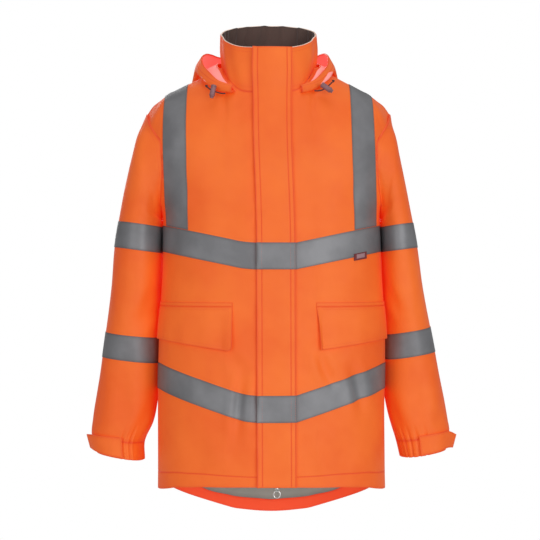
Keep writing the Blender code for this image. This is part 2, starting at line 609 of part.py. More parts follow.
for hand_name, table in (("right", SLEEVE_RIGHT), ("left", SLEEVE_LEFT)):
    hand = HANDS[hand_name]
    inward = Vector((-hand, 0, 0))
    sleeve = sleeve_form(hand, table)
    ring_count = len(RING_SHARES) * 2 - 2
    sheet("sleeve_" + hand_name, sleeve.points[:CUFF_ROW + 1], inward, SHELL_WALL, -1, ORANGE, True)
    cuff = sleeve.patch((CUFF_ROW + CUFF_SEAM_SHARE, CUFF_ROW + 1), range(ring_count), 0.0)
    sheet("cuff_" + hand_name, cuff, inward, SHELL_WALL, -1, ORANGE, True)
    for name, rows in (("sleeve_tape_upper_", UPPER_TAPE_ROWS), ("sleeve_tape_lower_", LOWER_TAPE_ROWS)):
        sheet(name + hand_name, sleeve.ring(rows, TAPE_LIFT), inward, TAPE_WALL, 1, TAPE, True)
    low = [sleeve.spot(bottom, column, lift) for column, _, bottom, lift in TAB_COLUMNS]
    high = [sleeve.spot(top, column, lift) for column, top, _, lift in TAB_COLUMNS]
    (high_x, high_y, high_z), (low_x, low_y, low_z) = TAB_END
    low.append(Vector((hand * low_x, low_y, low_z)))
    high.append(Vector((hand * high_x, high_y, high_z)))
    sheet("cuff_tab_" + hand_name, [low, high], FORWARD, FLAP_WALL, 1, ORANGE)


# ---------------------------------------------------------------- hood
def torso_top(x, y):
    """Height of the shoulders and chest under a plan point."""
    side = -1 if y < 0 else 1
    spread = min(abs(x) / HALF_WIDTH[-1][1], 1.0)
    reach = look(FRONT_DEPTH if side < 0 else BACK_DEPTH, 0.0)
    reach *= (1 - spread ** SECTION_POWER) ** (1 / SECTION_POWER)
    ratio = abs(y) / reach
    if ratio >= 1.0:
        return -1.0
    return DOME_Z + (look(SHOULDER, abs(x)) - DOME_Z) * math.sqrt(1 - ratio * ratio)


def hood_profile(row, hand):
    """From the neck, over the shoulders, round the fold and up to the rim."""
    angle = math.radians(row[0])
    width = HOOD_WIDTH_RIGHT if hand < 0 else HOOD_WIDTH_LEFT
    out = Vector((hand * width * math.sin(angle), math.cos(angle), 0.0))
    gap = look(HOOD_BODY_GAP, row[0])
    attach_radius = look(NECK_RADIUS, row[0]) + HOOD_FROM_NECK
    neck = Vector((hand * math.sin(angle), math.cos(angle), 0.0)) * attach_radius
    attach = above_body(neck - Vector((0, 0, 1)), gap)
    fold, outer, rim = (above_body(out * row[i] + Vector((0, 0, row[i + 1])), gap) for i in (1, 3, 5))
    round_half = out * (row[1] - attach_radius) * FOLD_ROUNDING
    round_rise = Vector((0.0, 0.0, round_half.length * 0.5))
    fold_in, fold_out = fold - round_half + round_rise, fold + round_half + round_rise
    fold_in = above_body(fold_in, gap)
    knots = [attach, above_body(attach.lerp(fold_in, 0.5), gap), fold_in, fold, fold_out, outer, rim]
    return [lean(above_body(point, gap)) for point in smooth_curve(knots, HOOD_PROFILE_STEPS + 1)]


def above_body(point, gap):
    return Vector((point.x, point.y, max(point.z, torso_top(point.x, point.y) + gap)))


hood_stations = [hood_profile(row, -1) for row in HOOD[::-1]] + [hood_profile(row, 1) for row in HOOD[1:]]
HOOD_LAST = len(hood_stations) - 1
HOOD_OUTER_ROW = HOOD_PROFILE_STEPS - 1
hood_rows = [[station[level] for station in hood_stations] for level in range(HOOD_PROFILE_STEPS + 1)]
hood = Form(hood_rows, Vector((0.0, 0.0, 0.05)))
if hood.normals[HOOD_OUTER_ROW][HOOD_LAST // 2].y < 0:
    hood.normals = [[-n for n in row] for row in hood.normals]
hood_facing = hood.normals[len(hood_rows) // 2][HOOD_LAST // 2]
sheet("hood_shell", hood_rows, hood_facing, SHELL_WALL, -1, ORANGE)
# The lining is thickened from the same mesh as the shell, further in along the same normals
lining_rows = [row[HOOD_LINING_FROM:-HOOD_LINING_FROM] for row in hood_rows]
hood_lining = sheet("hood_lining", lining_rows, hood_facing, LINING_WALL, -1, PINK)
hood_lining.modifiers["Wall"].offset = -1 - 2 * HOOD_LINING_LIFT / LINING_WALL


# ---------------------------------------------------------------- draw cords, locks and knots
def move_to(made, home):
    """Take the object that an operator made into one collection."""
    for old_home in list(made.users_collection):
        old_home.objects.unlink(made)
    home.objects.link(made)


def union_or_cut(target, other, operation):
    change = target.modifiers.new(operation.title(), "BOOLEAN")
    change.object = other
    change.operation = operation
    other.hide_render = True
    other.display_type = "WIRE"
    move_to(other, cutters)


def rod(name, centre, direction, radius, length, sides, finish, home):
    """A cylinder along a direction."""
    bpy.ops.mesh.primitive_cylinder_add(vertices=sides, radius=radius, depth=length, location=centre)
    made = bpy.context.object
    made.name = name
    made.rotation_euler = Vector(direction).to_track_quat("Z", "Y").to_euler()
    made.data.materials.append(finish)
    move_to(made, home)
    return made


for short, hand_name in (("r", "right"), ("l", "left")):
    route = smooth_curve([Vector(point) for point in CORD_ROUTES[short]], CORD_POINTS)
    curve = bpy.data.curves.new("hood_cord_" + hand_name, "CURVE")
    curve.dimensions = "3D"
    curve.bevel_depth = CORD_DIAMETER / 2
    curve.bevel_resolution = 2
    curve.use_fill_caps = True
    spline = curve.splines.new("POLY")
    spline.points.add(len(route) - 1)
    for point, place in zip(spline.points, route):
        point.co = (*place, 1.0)
    curve.materials.append(CORD)
    parts.objects.link(bpy.data.objects.new("hood_cord_" + hand_name, curve))

    centre, axis = CORD_LOCK[short]
    lock = rod("cord_lock_" + hand_name, centre, axis, LOCK_RADIUS, LOCK_LENGTH, 20, LOCK, parts)
    lock.data.shade_smooth()
    edge = lock.modifiers.new("Edge", "BEVEL")
    edge.width = 0.0012
    edge.segments = 1
    nearest = min(range(1, len(route) - 1), key=lambda i: (route[i] - Vector(centre)).length)
    along = route[nearest + 1] - route[nearest - 1]
    hole = rod("lock_hole_" + hand_name, route[nearest], along, LOCK_HOLE_RADIUS, 0.03, 12, LOCK, cutters)
    union_or_cut(lock, hole, "DIFFERENCE")

    tail = (route[-1] - route[-2]).normalized()
    bpy.ops.mesh.primitive_uv_sphere_add(segments=12, ring_count=8, radius=KNOT_RADIUS,
                                         location=route[-1] + tail * (KNOT_RADIUS + 0.0003))
    knot = bpy.context.object
    knot.name = "cord_knot_" + hand_name
    knot.data.materials.append(CORD)
    move_to(knot, parts)


# ---------------------------------------------------------------- zip slider and its ring
zip_x = look(ZIP_X, SLIDER_Z)
zip_end = zip_strip[0][0].lerp(zip_strip[0][1], 0.5)
slider_y = zip_end.y + ZIP_DEPTH / 2
bpy.ops.mesh.primitive_cube_add(size=1.0, location=(zip_x, slider_y, SLIDER_Z))
slider = bpy.context.object
slider.name = "zip_slider"
for vertex in slider.data.vertices:
    vertex.co = Vector(a * b for a, b in zip(vertex.co, SLIDER_SIZE))
slider_edge = slider.modifiers.new("Edge", "BEVEL")
slider_edge.width = 0.0008
slider_edge.segments = 2
slider.data.materials.append(METAL)
move_to(slider, parts)

bpy.ops.mesh.primitive_torus_add(major_segments=24, minor_segments=8, major_radius=RING_RADIUS,
                                 minor_radius=RING_WIRE, location=(zip_x, slider_y, PULL_AXIS_Z),
                                 rotation=(math.pi / 2, 0, 0))
pull = bpy.context.object
pull.name = "zip_pull"
for vertex in pull.data.vertices:
    vertex.co.y -= RING_RADIUS
pull.data.materials.append(METAL)
move_to(pull, parts)
barrel = rod("pull_barrel", (zip_x, slider_y, PULL_AXIS_Z), (1, 0, 0), PULL_BARREL_RADIUS, PULL_BARREL_LENGTH,
             12, METAL, parts)
union_or_cut(pull, barrel, "UNION")
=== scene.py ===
"""A hi-vis work parka in proofed orange polyester, hollow and filled out as it is when it is worn.

Metres, +Z up, the front faces -Y. The origin is midway between the points where the shoulder seams meet the
neck. Every cloth piece is cut from a smooth surface, the pattern, that runs through the garment's own
sections.
"""
import math

import bpy
import numpy as np
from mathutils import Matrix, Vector


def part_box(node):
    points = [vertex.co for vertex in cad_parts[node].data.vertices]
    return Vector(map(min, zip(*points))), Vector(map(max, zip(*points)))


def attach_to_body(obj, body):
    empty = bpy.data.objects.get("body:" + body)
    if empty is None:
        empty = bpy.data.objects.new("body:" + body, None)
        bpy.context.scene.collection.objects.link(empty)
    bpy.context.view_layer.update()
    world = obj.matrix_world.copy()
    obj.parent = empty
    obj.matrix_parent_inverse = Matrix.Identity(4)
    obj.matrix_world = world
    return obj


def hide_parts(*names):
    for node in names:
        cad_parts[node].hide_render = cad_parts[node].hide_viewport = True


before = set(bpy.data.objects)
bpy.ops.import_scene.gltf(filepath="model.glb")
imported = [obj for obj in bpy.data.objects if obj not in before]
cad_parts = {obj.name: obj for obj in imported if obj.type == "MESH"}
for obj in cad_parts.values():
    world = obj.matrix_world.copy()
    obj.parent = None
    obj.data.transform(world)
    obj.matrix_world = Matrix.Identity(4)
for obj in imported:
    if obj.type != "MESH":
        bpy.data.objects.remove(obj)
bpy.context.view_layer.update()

for chosen in list(bpy.context.selected_objects):
    chosen.select_set(False)

# ---------------------------------------------------------------- camera, light and floor
# The jacket is seen from straight in front at the height of its chest, before a white surround. Two large
# soft lights stand in front, the one on the wearer's left the stronger; one more hangs above and one stands
# behind. A pale floor lies well below the hem.
CAMERA_PLACE = (-0.003, -2.65, -0.400)
CAMERA_LENS = 89.3
#           name        place                 aimed at             size   watts
LIGHTS = (("key_light", (1.55, -3.00, -0.15), (0.00, 0.00, -0.55), 2.00, 50.0),
          ("fill_light", (-1.70, -3.00, 0.10), (0.00, 0.00, -0.45), 2.00, 24.0),
          ("top_light", (0.10, -0.60, 2.40), (0.00, 0.00, -0.20), 1.60, 20.0),
          ("back_light", (-0.80, 3.40, 0.90), (0.00, 0.00, -0.40), 2.20, 46.0))
SURROUND_LIGHT = 0.32
FLOOR_Z = -1.30
FLOOR_RADIUS = 1.65

scene = bpy.context.scene
scene.view_settings.view_transform = "Standard"
camera = bpy.data.objects.new("camera", bpy.data.cameras.new("camera"))
camera.data.lens = CAMERA_LENS
camera.data.sensor_width = 36.0
camera.location = CAMERA_PLACE
camera.rotation_euler = (math.pi / 2, 0.0, 0.0)
scene.collection.objects.link(camera)
scene.camera = camera

for light_name, place, aim, size, watts in LIGHTS:
    lamp = bpy.data.lights.new(light_name, "AREA")
    lamp.size = size
    lamp.energy = watts
    holder = bpy.data.objects.new(light_name, lamp)
    holder.location = place
    holder.rotation_euler = (Vector(aim) - Vector(place)).to_track_quat("-Z", "Y").to_euler()
    scene.collection.objects.link(holder)


def linear(hex_colour):
    """An sRGB hex colour as the linear colour that a shader takes."""
    values = [int(hex_colour[place:place + 2], 16) / 255 for place in (1, 3, 5)]
    return (*[v / 12.92 if v <= 0.04045 else ((v + 0.055) / 1.055) ** 2.4 for v in values], 1.0)


def add_node(tree, kind, settings=None, links=None):
    """Adds a node: settings are its own properties or its inputs' values, links are its inputs' sources."""
    node = tree.nodes.new(kind)
    for key, value in (settings or {}).items():
        if isinstance(key, str) and hasattr(node, key):
            setattr(node, key, value)
        else:
            node.inputs[key].default_value = value
    for key, source in (links or {}).items():
        tree.links.new(source, node.inputs[key])
    return node


def new_finish(name):
    """A new node material, its node tree and its main shader."""
    finish = bpy.data.materials.new(name)
    finish.use_nodes = True
    return finish, finish.node_tree, finish.node_tree.nodes["Principled BSDF"]


surround = bpy.data.worlds.new("surround")
surround.use_nodes = True
scene.world = surround
sky = surround.node_tree
sky.nodes.clear()
seen = add_node(sky, "ShaderNodeBackground", {"Color": (1.0, 1.0, 1.0, 1.0), "Strength": 1.0})
lit = add_node(sky, "ShaderNodeBackground", {"Color": (1.0, 1.0, 1.0, 1.0), "Strength": SURROUND_LIGHT})
ray = add_node(sky, "ShaderNodeLightPath")
both = add_node(sky, "ShaderNodeMixShader",
                links={0: ray.outputs["Is Camera Ray"], 1: lit.outputs[0], 2: seen.outputs[0]})
add_node(sky, "ShaderNodeOutputWorld", links={0: both.outputs[0]})

bpy.ops.mesh.primitive_circle_add(vertices=96, radius=FLOOR_RADIUS, fill_type="NGON",
                                  location=(0.0, 0.0, FLOOR_Z))
floor = bpy.context.object
floor.name = "floor"
pale_floor, _, floor_shader = new_finish("painted_floor")
floor_shader.inputs["Base Color"].default_value = linear("#E9E9E7")
floor_shader.inputs["Roughness"].default_value = 0.9
floor.data.materials.append(pale_floor)
floor.select_set(False)

# ---------------------------------------------------------------- hood draw cords
# Two short ends of a braided polyester cord, 2.6 mm thick. Each leaves the hood's front corner, passes
# crosswise through a spring lock and ends in a knot.
CORD_DIAMETER = 0.0026
CORD_POINTS = 17
CORD_ROUTES = {
    "r": ((-0.0880, -0.1010, -0.0640), (-0.0950, -0.1010, -0.0640), (-0.1030, -0.1030, -0.0622),
          (-0.1115, -0.1035, -0.0590), (-0.1180, -0.1030, -0.0555), (-0.1218, -0.1018, -0.0520)),
    "l": ((0.0820, -0.0990, -0.0585), (0.0890, -0.1010, -0.0590), (0.0965, -0.1020, -0.0575),
          (0.1040, -0.1020, -0.0528), (0.1105, -0.1020, -0.0475), (0.1155, -0.1015, -0.0425)),
}
HANDS = {"right": -1, "left": 1}


def smooth_curve(knots, count):
    """Points at even parameter along a Catmull-Rom curve through the knots."""
    found = []
    spans = len(knots) - 1
    for index in range(count):
        place = spans * index / (count - 1)
        span = min(int(place), spans - 1)
        t = place - span
        p0, p1 = knots[max(span - 1, 0)], knots[span]
        p2, p3 = knots[span + 1], knots[min(span + 2, spans)]
        found.append(0.5 * (2 * p1 + (p2 - p0) * t + (2 * p0 - 5 * p1 + 4 * p2 - p3) * t ** 2
                            + (3 * p1 - p0 - 3 * p2 + p3) * t ** 3))
    return found


def object_place(tree):
    return add_node(tree, "ShaderNodeTexCoord").outputs["Object"]


# Braided polyester cord: a dark wine-brown, with the small scales of its braid
BRAID_SCALE = 1100.0
braided_cord, tree, cord_shader = new_finish("braided_polyester_cord")
braid = add_node(tree, "ShaderNodeTexVoronoi", {"Scale": BRAID_SCALE}, {"Vector": object_place(tree)})
shade = add_node(tree, "ShaderNodeMix", {"data_type": "RGBA", 6: linear("#5A2A2A"), 7: linear("#2B1012")},
                 {0: braid.outputs["Distance"]})
tree.links.new(shade.outputs[2], cord_shader.inputs["Base Color"])
rise = add_node(tree, "ShaderNodeBump", {"Strength": 0.6, "Distance": 0.0003, "invert": True},
                {"Height": braid.outputs["Distance"]})
tree.links.new(rise.outputs[0], cord_shader.inputs["Normal"])
cord_shader.inputs["Roughness"].default_value = 0.75
cord_shader.inputs["Sheen Weight"].default_value = 0.2


def tube(name, points, radius, finish, closed=False, sides=3, ends=1.0):
    """A round cord or piping along a row of points, thinner at its ends where that is less than 1."""
    curve = bpy.data.curves.new(name, "CURVE")
    curve.dimensions = "3D"
    curve.bevel_depth = radius
    curve.bevel_resolution = sides
    curve.use_fill_caps = not closed
    spline = curve.splines.new("POLY")
    spline.points.add(len(points) - 1)
    spline.use_cyclic_u = closed
    last = len(points) - 1
    for index, (point, place) in enumerate(zip(spline.points, points)):
        point.co = (*place, 1.0)
        point.radius = ends + (1 - ends) * min(8 * min(index, last - index) / last, 1.0)
    curve.materials.append(finish)
    made = bpy.data.objects.new(name, curve)
    scene.collection.objects.link(made)
    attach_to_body(made, "root")
    return made


# The end knot: an overhand knot drawn tight, as a three-lobed loop of the same cord
KNOT_LOBE = 0.00125
KNOT_STRAND = 0.00105
KNOT_POINTS = 48


def knot_loop(centre):
    for step in range(KNOT_POINTS):
        turn = 2 * math.pi * step / KNOT_POINTS
        x = math.sin(turn) + 2 * math.sin(2 * turn)
        y = math.cos(turn) - 2 * math.cos(2 * turn)
        z = -math.sin(3 * turn)
        yield centre + Vector((x * 0.5, z * 0.7, y * 0.5)) * KNOT_LOBE


for short, hand_name in (("r", "right"), ("l", "left")):
    route = smooth_curve([Vector(point) for point in CORD_ROUTES[short]], CORD_POINTS)
    cord = tube("draw_cord_" + hand_name, route, CORD_DIAMETER / 2, braided_cord)
    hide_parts("hood_cord_" + hand_name)
    low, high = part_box("cord_knot_" + hand_name)
    loop = list(knot_loop((low + high) / 2))
    knot = tube("draw_cord_knot_" + hand_name, loop, KNOT_STRAND, braided_cord, True)
    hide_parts("cord_knot_" + hand_name)

# ---------------------------------------------------------------- cord locks
# Spring locks moulded in mauve acetal: a barrel with a cross hole for the cord and a push button in its end.
# The barrel is squeezed against its spring to slide along the cord.
CORD_LOCK_AXIS = {"right": (-0.20, 0.0, -1.0), "left": (0.83, 0.0, -0.56)}
BUTTON_RADIUS = 0.0037
BUTTON_HEIGHT = 0.0030
BUTTON_EDGE = 0.0006
LOCK_HALF_LENGTH = 0.01125
BUTTON_GAP = 0.0002
GRIP_RADIUS = 0.00525
GRIP_WIRE = 0.0006

# Moulded acetal: satin, with the faint cloudiness of coloured plastic
moulded_acetal, tree, acetal = new_finish("moulded_acetal")
cloud = add_node(tree, "ShaderNodeTexNoise", {"Scale": 420.0, "Detail": 2.0}, {"Vector": object_place(tree)})
shade = add_node(tree, "ShaderNodeMix", {"data_type": "RGBA", 6: linear("#7E5358"), 7: linear("#966A70")},
                 {0: cloud.outputs["Fac"]})
tree.links.new(shade.outputs[2], acetal.inputs["Base Color"])
grain = add_node(tree, "ShaderNodeBump", {"Strength": 0.3, "Distance": 0.0001},
                 {"Height": cloud.outputs["Fac"]})
tree.links.new(grain.outputs[0], acetal.inputs["Normal"])
acetal.inputs["Roughness"].default_value = 0.42


def set_in_place(made, name, finish):
    """Names a hard piece, takes its place and turn into its mesh, and lets it ride."""
    made.name = name
    bpy.ops.object.transform_apply(location=True, rotation=True, scale=True)
    made.data.materials.clear()
    made.data.materials.append(finish)
    bpy.ops.object.shade_smooth_by_angle(angle=math.radians(40))
    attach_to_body(made, "root")
    made.select_set(False)


for hand_name, axis in CORD_LOCK_AXIS.items():
    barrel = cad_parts["cord_lock_" + hand_name]
    barrel.data.materials.clear()
    barrel.data.materials.append(moulded_acetal)
    low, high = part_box("cord_lock_" + hand_name)
    way = Vector(axis).normalized()
    turned = way.to_track_quat("Z", "Y").to_euler()
    seat = (low + high) / 2 + way * (LOCK_HALF_LENGTH + BUTTON_HEIGHT / 2 + BUTTON_GAP)
    bpy.ops.mesh.primitive_cylinder_add(vertices=24, radius=BUTTON_RADIUS, depth=BUTTON_HEIGHT, location=seat,
                                        rotation=turned)
    button = bpy.context.object
    bpy.ops.object.mode_set(mode="EDIT")
    bpy.ops.mesh.select_all(action="SELECT")
    bpy.ops.mesh.bevel(offset=BUTTON_EDGE, segments=2)
    bpy.ops.object.mode_set(mode="OBJECT")
    set_in_place(button, "lock_button_" + hand_name, moulded_acetal)
    for end, ring_name in ((-0.72, "lower"), (0.72, "upper")):
        bpy.ops.mesh.primitive_torus_add(major_segments=28, minor_segments=8, major_radius=GRIP_RADIUS,
                                         minor_radius=GRIP_WIRE, rotation=turned,
                                         location=(low + high) / 2 + way * LOCK_HALF_LENGTH * end)
        grip = bpy.context.object
        set_in_place(grip, "lock_grip_%s_%s" % (ring_name, hand_name), moulded_acetal)

# ---------------------------------------------------------------- the two fronts
# Proofed polyester in fluorescent orange, cut from hem to shoulder and from the zip to the side seam, where
# they are sewn to the back. Their form is worked out from the garment's sections; creases are given one by
# one.
SHELL_WALL = 0.0016
SEAM_HALF_GAP = 0.0006
SHOULDER_HALF_GAP = 0.0009
SECTION_POWER = 2.5
DOME_Z = -0.220
#              z       half
HALF_WIDTH = ((-0.825, 0.2240), (-0.660, 0.2225), (-0.540, 0.2220), (-0.480, 0.2205), (-0.420, 0.2166),
              (-0.350, 0.2148), (-0.300, 0.2137), (-0.260, 0.2260), (-0.200, 0.2400), (-0.157, 0.2470),
              (-0.093, 0.2620))
#               z       depth
FRONT_DEPTH = ((-0.825, 0.1650), (-0.650, 0.1600), (-0.350, 0.1450), (-0.220, 0.1300))
BACK_DEPTH = ((-0.825, 0.1500), (-0.650, 0.1450), (-0.350, 0.1350), (-0.220, 0.1280))
#            |x|     z of the shoulder ridge
SHOULDER = ((0.000, 0.0469), (0.092, 0.0000), (0.200, -0.0551), (0.211, -0.0640), (0.2265, -0.0756),
            (0.239, -0.0930))
NECK_POINT_X = 0.092
#              |x|     z of the neckline
NECK_FRONT = ((0.000, -0.066), (0.0545, -0.058), (0.075, -0.036), (0.088, -0.012), (0.092, 0.000))
NECK_BACK = ((0.000, 0.012), (0.050, -0.002), (0.075, 0.000), (0.092, 0.000))
#           share   |x|     z        from the armpit up to the shoulder tip
ARMHOLE = ((0.00, 0.2137, -0.300), (0.12, 0.2120, -0.272), (0.25, 0.2072, -0.235), (0.42, 0.2050, -0.195),
           (0.60, 0.2065, -0.155), (0.78, 0.2190, -0.136), (0.90, 0.2305, -0.117), (1.00, 0.2390, -0.093))
UPPER_START = 0.25
UPPER_SHARES = (0.00, 0.12, 0.25, 0.42, 0.60, 0.78, 0.90, 1.00)
ARMPIT_ROW = ((0.045, -0.310), (0.2025, -0.300))
LEAN = 0.006
LEAN_FROM_Z = -0.350
LEAN_HEIGHT = 0.250
ZIP_X = ((-0.804, 0.0100), (0.026, 0.0075))
ZIP_HALF_GAP = 0.0040
FLAP_HALF_WIDTH = 0.0370
BRACE_OUTER = 0.2025
PANEL_COLUMNS = (0.057, 0.0765, 0.0935, 0.125, 0.1575, 0.180, BRACE_OUTER)
EDGE_STEPS = 3
# Rows of the fronts, from the hem up: each is |x| and z where the row bends
FRONT_ROWS = {
    "hem": ((0.045, -0.804), (0.130, -0.806), (0.185, -0.812), (0.224, -0.825)),
    "lower_bottom": ((0.045, -0.684), (0.214, -0.630)),
    "lower_top": ((0.045, -0.634), (0.214, -0.580)),
    "flap_bottom": ((0.045, -0.5565), (0.214, -0.533)),
    "flap_top": ((0.0, -0.469),),
    "welt_top": ((0.0, -0.461),),
    "chest_bottom": ((0.045, -0.399), (0.214, -0.364)),
    "chest_top": ((0.045, -0.349), (0.214, -0.313)),
}
BACK_ARMPIT_ROW = ((0.0, -0.290), (0.2025, -0.300))


def look(table, key):
    """Straight-line reading of a two-column table, held at its ends."""
    if key <= table[0][0]:
        return table[0][1]
    for (low, start), (high, end) in zip(table, table[1:]):
        if key <= high:
            return start + (end - start) * (key - low) / (high - low)
    return table[-1][1]


def lean(point):
    share = min(max((point.z - LEAN_FROM_Z) / LEAN_HEIGHT, 0.0), 1.0)
    return point - Vector((LEAN * share * share * (3 - 2 * share), 0.0, 0.0))


def body_point(x, z, side):
    """On the front (side -1) or the back (side 1) of the torso, at any x and z inside its outline."""
    spread = min(abs(x) / look(HALF_WIDTH, z), 1.0)
    depth = look(FRONT_DEPTH if side < 0 else BACK_DEPTH, z)
    y = depth * (1 - spread ** SECTION_POWER) ** (1 / SECTION_POWER)
    if z > DOME_Z:
        rise = min((z - DOME_Z) / (look(SHOULDER, abs(x)) - DOME_Z), 1.0)
        y = max(y * math.sqrt(1 - rise * rise), SHOULDER_HALF_GAP)
    return Vector((x, side * max(y, SEAM_HALF_GAP), z))


def neck_z(x, side):
    return look(NECK_FRONT if side < 0 else NECK_BACK, abs(x))


def side_columns(row, hand, side):
    """The columns from the brace's outer edge round to the side seam, by equal angles of the section."""
    half = look(HALF_WIDTH, row[-1][1])
    first = math.asin((BRACE_OUTER / half) ** (SECTION_POWER / 2))
    found = []
    for step in range(1, EDGE_STEPS + 1):
        angle = first + (math.pi / 2 - first) * step / EDGE_STEPS
        z = look(row, half * math.sin(angle) ** (2 / SECTION_POWER))
        x = look(HALF_WIDTH, z) * math.sin(angle) ** (2 / SECTION_POWER)
        depth = look(FRONT_DEPTH if side < 0 else BACK_DEPTH, z)
        y = depth * max(math.cos(angle), 0.0) ** (2 / SECTION_POWER)
        found.append(lean(Vector((hand * x, side * max(y, SEAM_HALF_GAP), z))))
    return found


def upper_z(x, share, side):
    """Height of an upper row at x: straight to DOME_Z, then by equal angles over the dome."""
    start = look(ARMPIT_ROW if side < 0 else BACK_ARMPIT_ROW, abs(x))
    if share <= UPPER_START:
        return start + (DOME_Z - start) * share / UPPER_START
    reach = look(SHOULDER, abs(x)) - DOME_Z
    top = math.pi / 2
    if abs(x) < NECK_POINT_X:
        top = math.asin((neck_z(x, side) - DOME_Z) / reach)
    return DOME_Z + reach * math.sin(top * (share - UPPER_START) / (1 - UPPER_START))


def armhole_columns(share, hand, side):
    """The columns from the brace's outer edge to the armhole."""
    edge_x = look([(row[0], row[1]) for row in ARMHOLE], share)
    edge_z = look([(row[0], row[2]) for row in ARMHOLE], share)
    inner_z = upper_z(BRACE_OUTER, share, side)
    found = []
    for step in range(1, EDGE_STEPS + 1):
        x = BRACE_OUTER + (edge_x - BRACE_OUTER) * step / EDGE_STEPS
        z = inner_z + (edge_z - inner_z) * step / EDGE_STEPS
        if share == 1.0:
            z = look(SHOULDER, x)
        found.append(lean(body_point(hand * x, z, side)))
    return found


def half_panel(rows, hand, side, inner_columns):
    """One half of the torso's front or back: rows from the hem up, columns from the centre out."""
    grid = []
    for row in rows.values():
        line = []
        for x in inner_columns(look(row, 0.0), hand) + [hand * u for u in PANEL_COLUMNS]:
            line.append(lean(body_point(x, look(row, abs(x)), side)))
        grid.append(line + side_columns(row, hand, side))
    armpit = ARMPIT_ROW if side < 0 else BACK_ARMPIT_ROW
    for share in UPPER_SHARES:
        line = []
        for x in inner_columns(upper_z(0.0, share, side), hand) + [hand * u for u in PANEL_COLUMNS]:
            line.append(lean(body_point(x, upper_z(x, share, side), side)))
        edge = side_columns(armpit, hand, side) if share == 0.0 else armhole_columns(share, hand, side)
        grid.append(line + edge)
    return grid


def zip_columns(z, hand):
    return [look(ZIP_X, z) + hand * ZIP_HALF_GAP, look(ZIP_X, z) + hand * FLAP_HALF_WIDTH]


def spline_weights(knots, places):
    """How much each knot counts at each place, on a smooth curve through unevenly spaced knots."""
    count = len(knots)
    gaps = np.diff(knots)
    slopes = np.zeros((count, count))
    for knot in range(count):
        if knot in (0, count - 1):
            gap, low = (gaps[0], 0) if knot == 0 else (gaps[-1], count - 2)
            slopes[knot, low:low + 2] = (-1 / gap, 1 / gap)
            continue
        before, after = gaps[knot - 1], gaps[knot]
        both_gaps = before + after
        slopes[knot, knot - 1] = -after / (before * both_gaps)
        slopes[knot, knot + 1] = before / (after * both_gaps)
        slopes[knot, knot] = -slopes[knot, knot - 1] - slopes[knot, knot + 1]
    span = np.clip(np.searchsorted(knots, places, side="right") - 1, 0, count - 2)
    gap = gaps[span][:, None]
    t = (places - knots[span])[:, None] / gap
    values = np.eye(count)
    return ((2 * t ** 3 - 3 * t ** 2 + 1) * values[span] + (t ** 3 - 2 * t ** 2 + t) * gap * slopes[span]
            + (3 * t ** 2 - 2 * t ** 3) * values[span + 1] + (t ** 3 - t ** 2) * gap * slopes[span + 1])


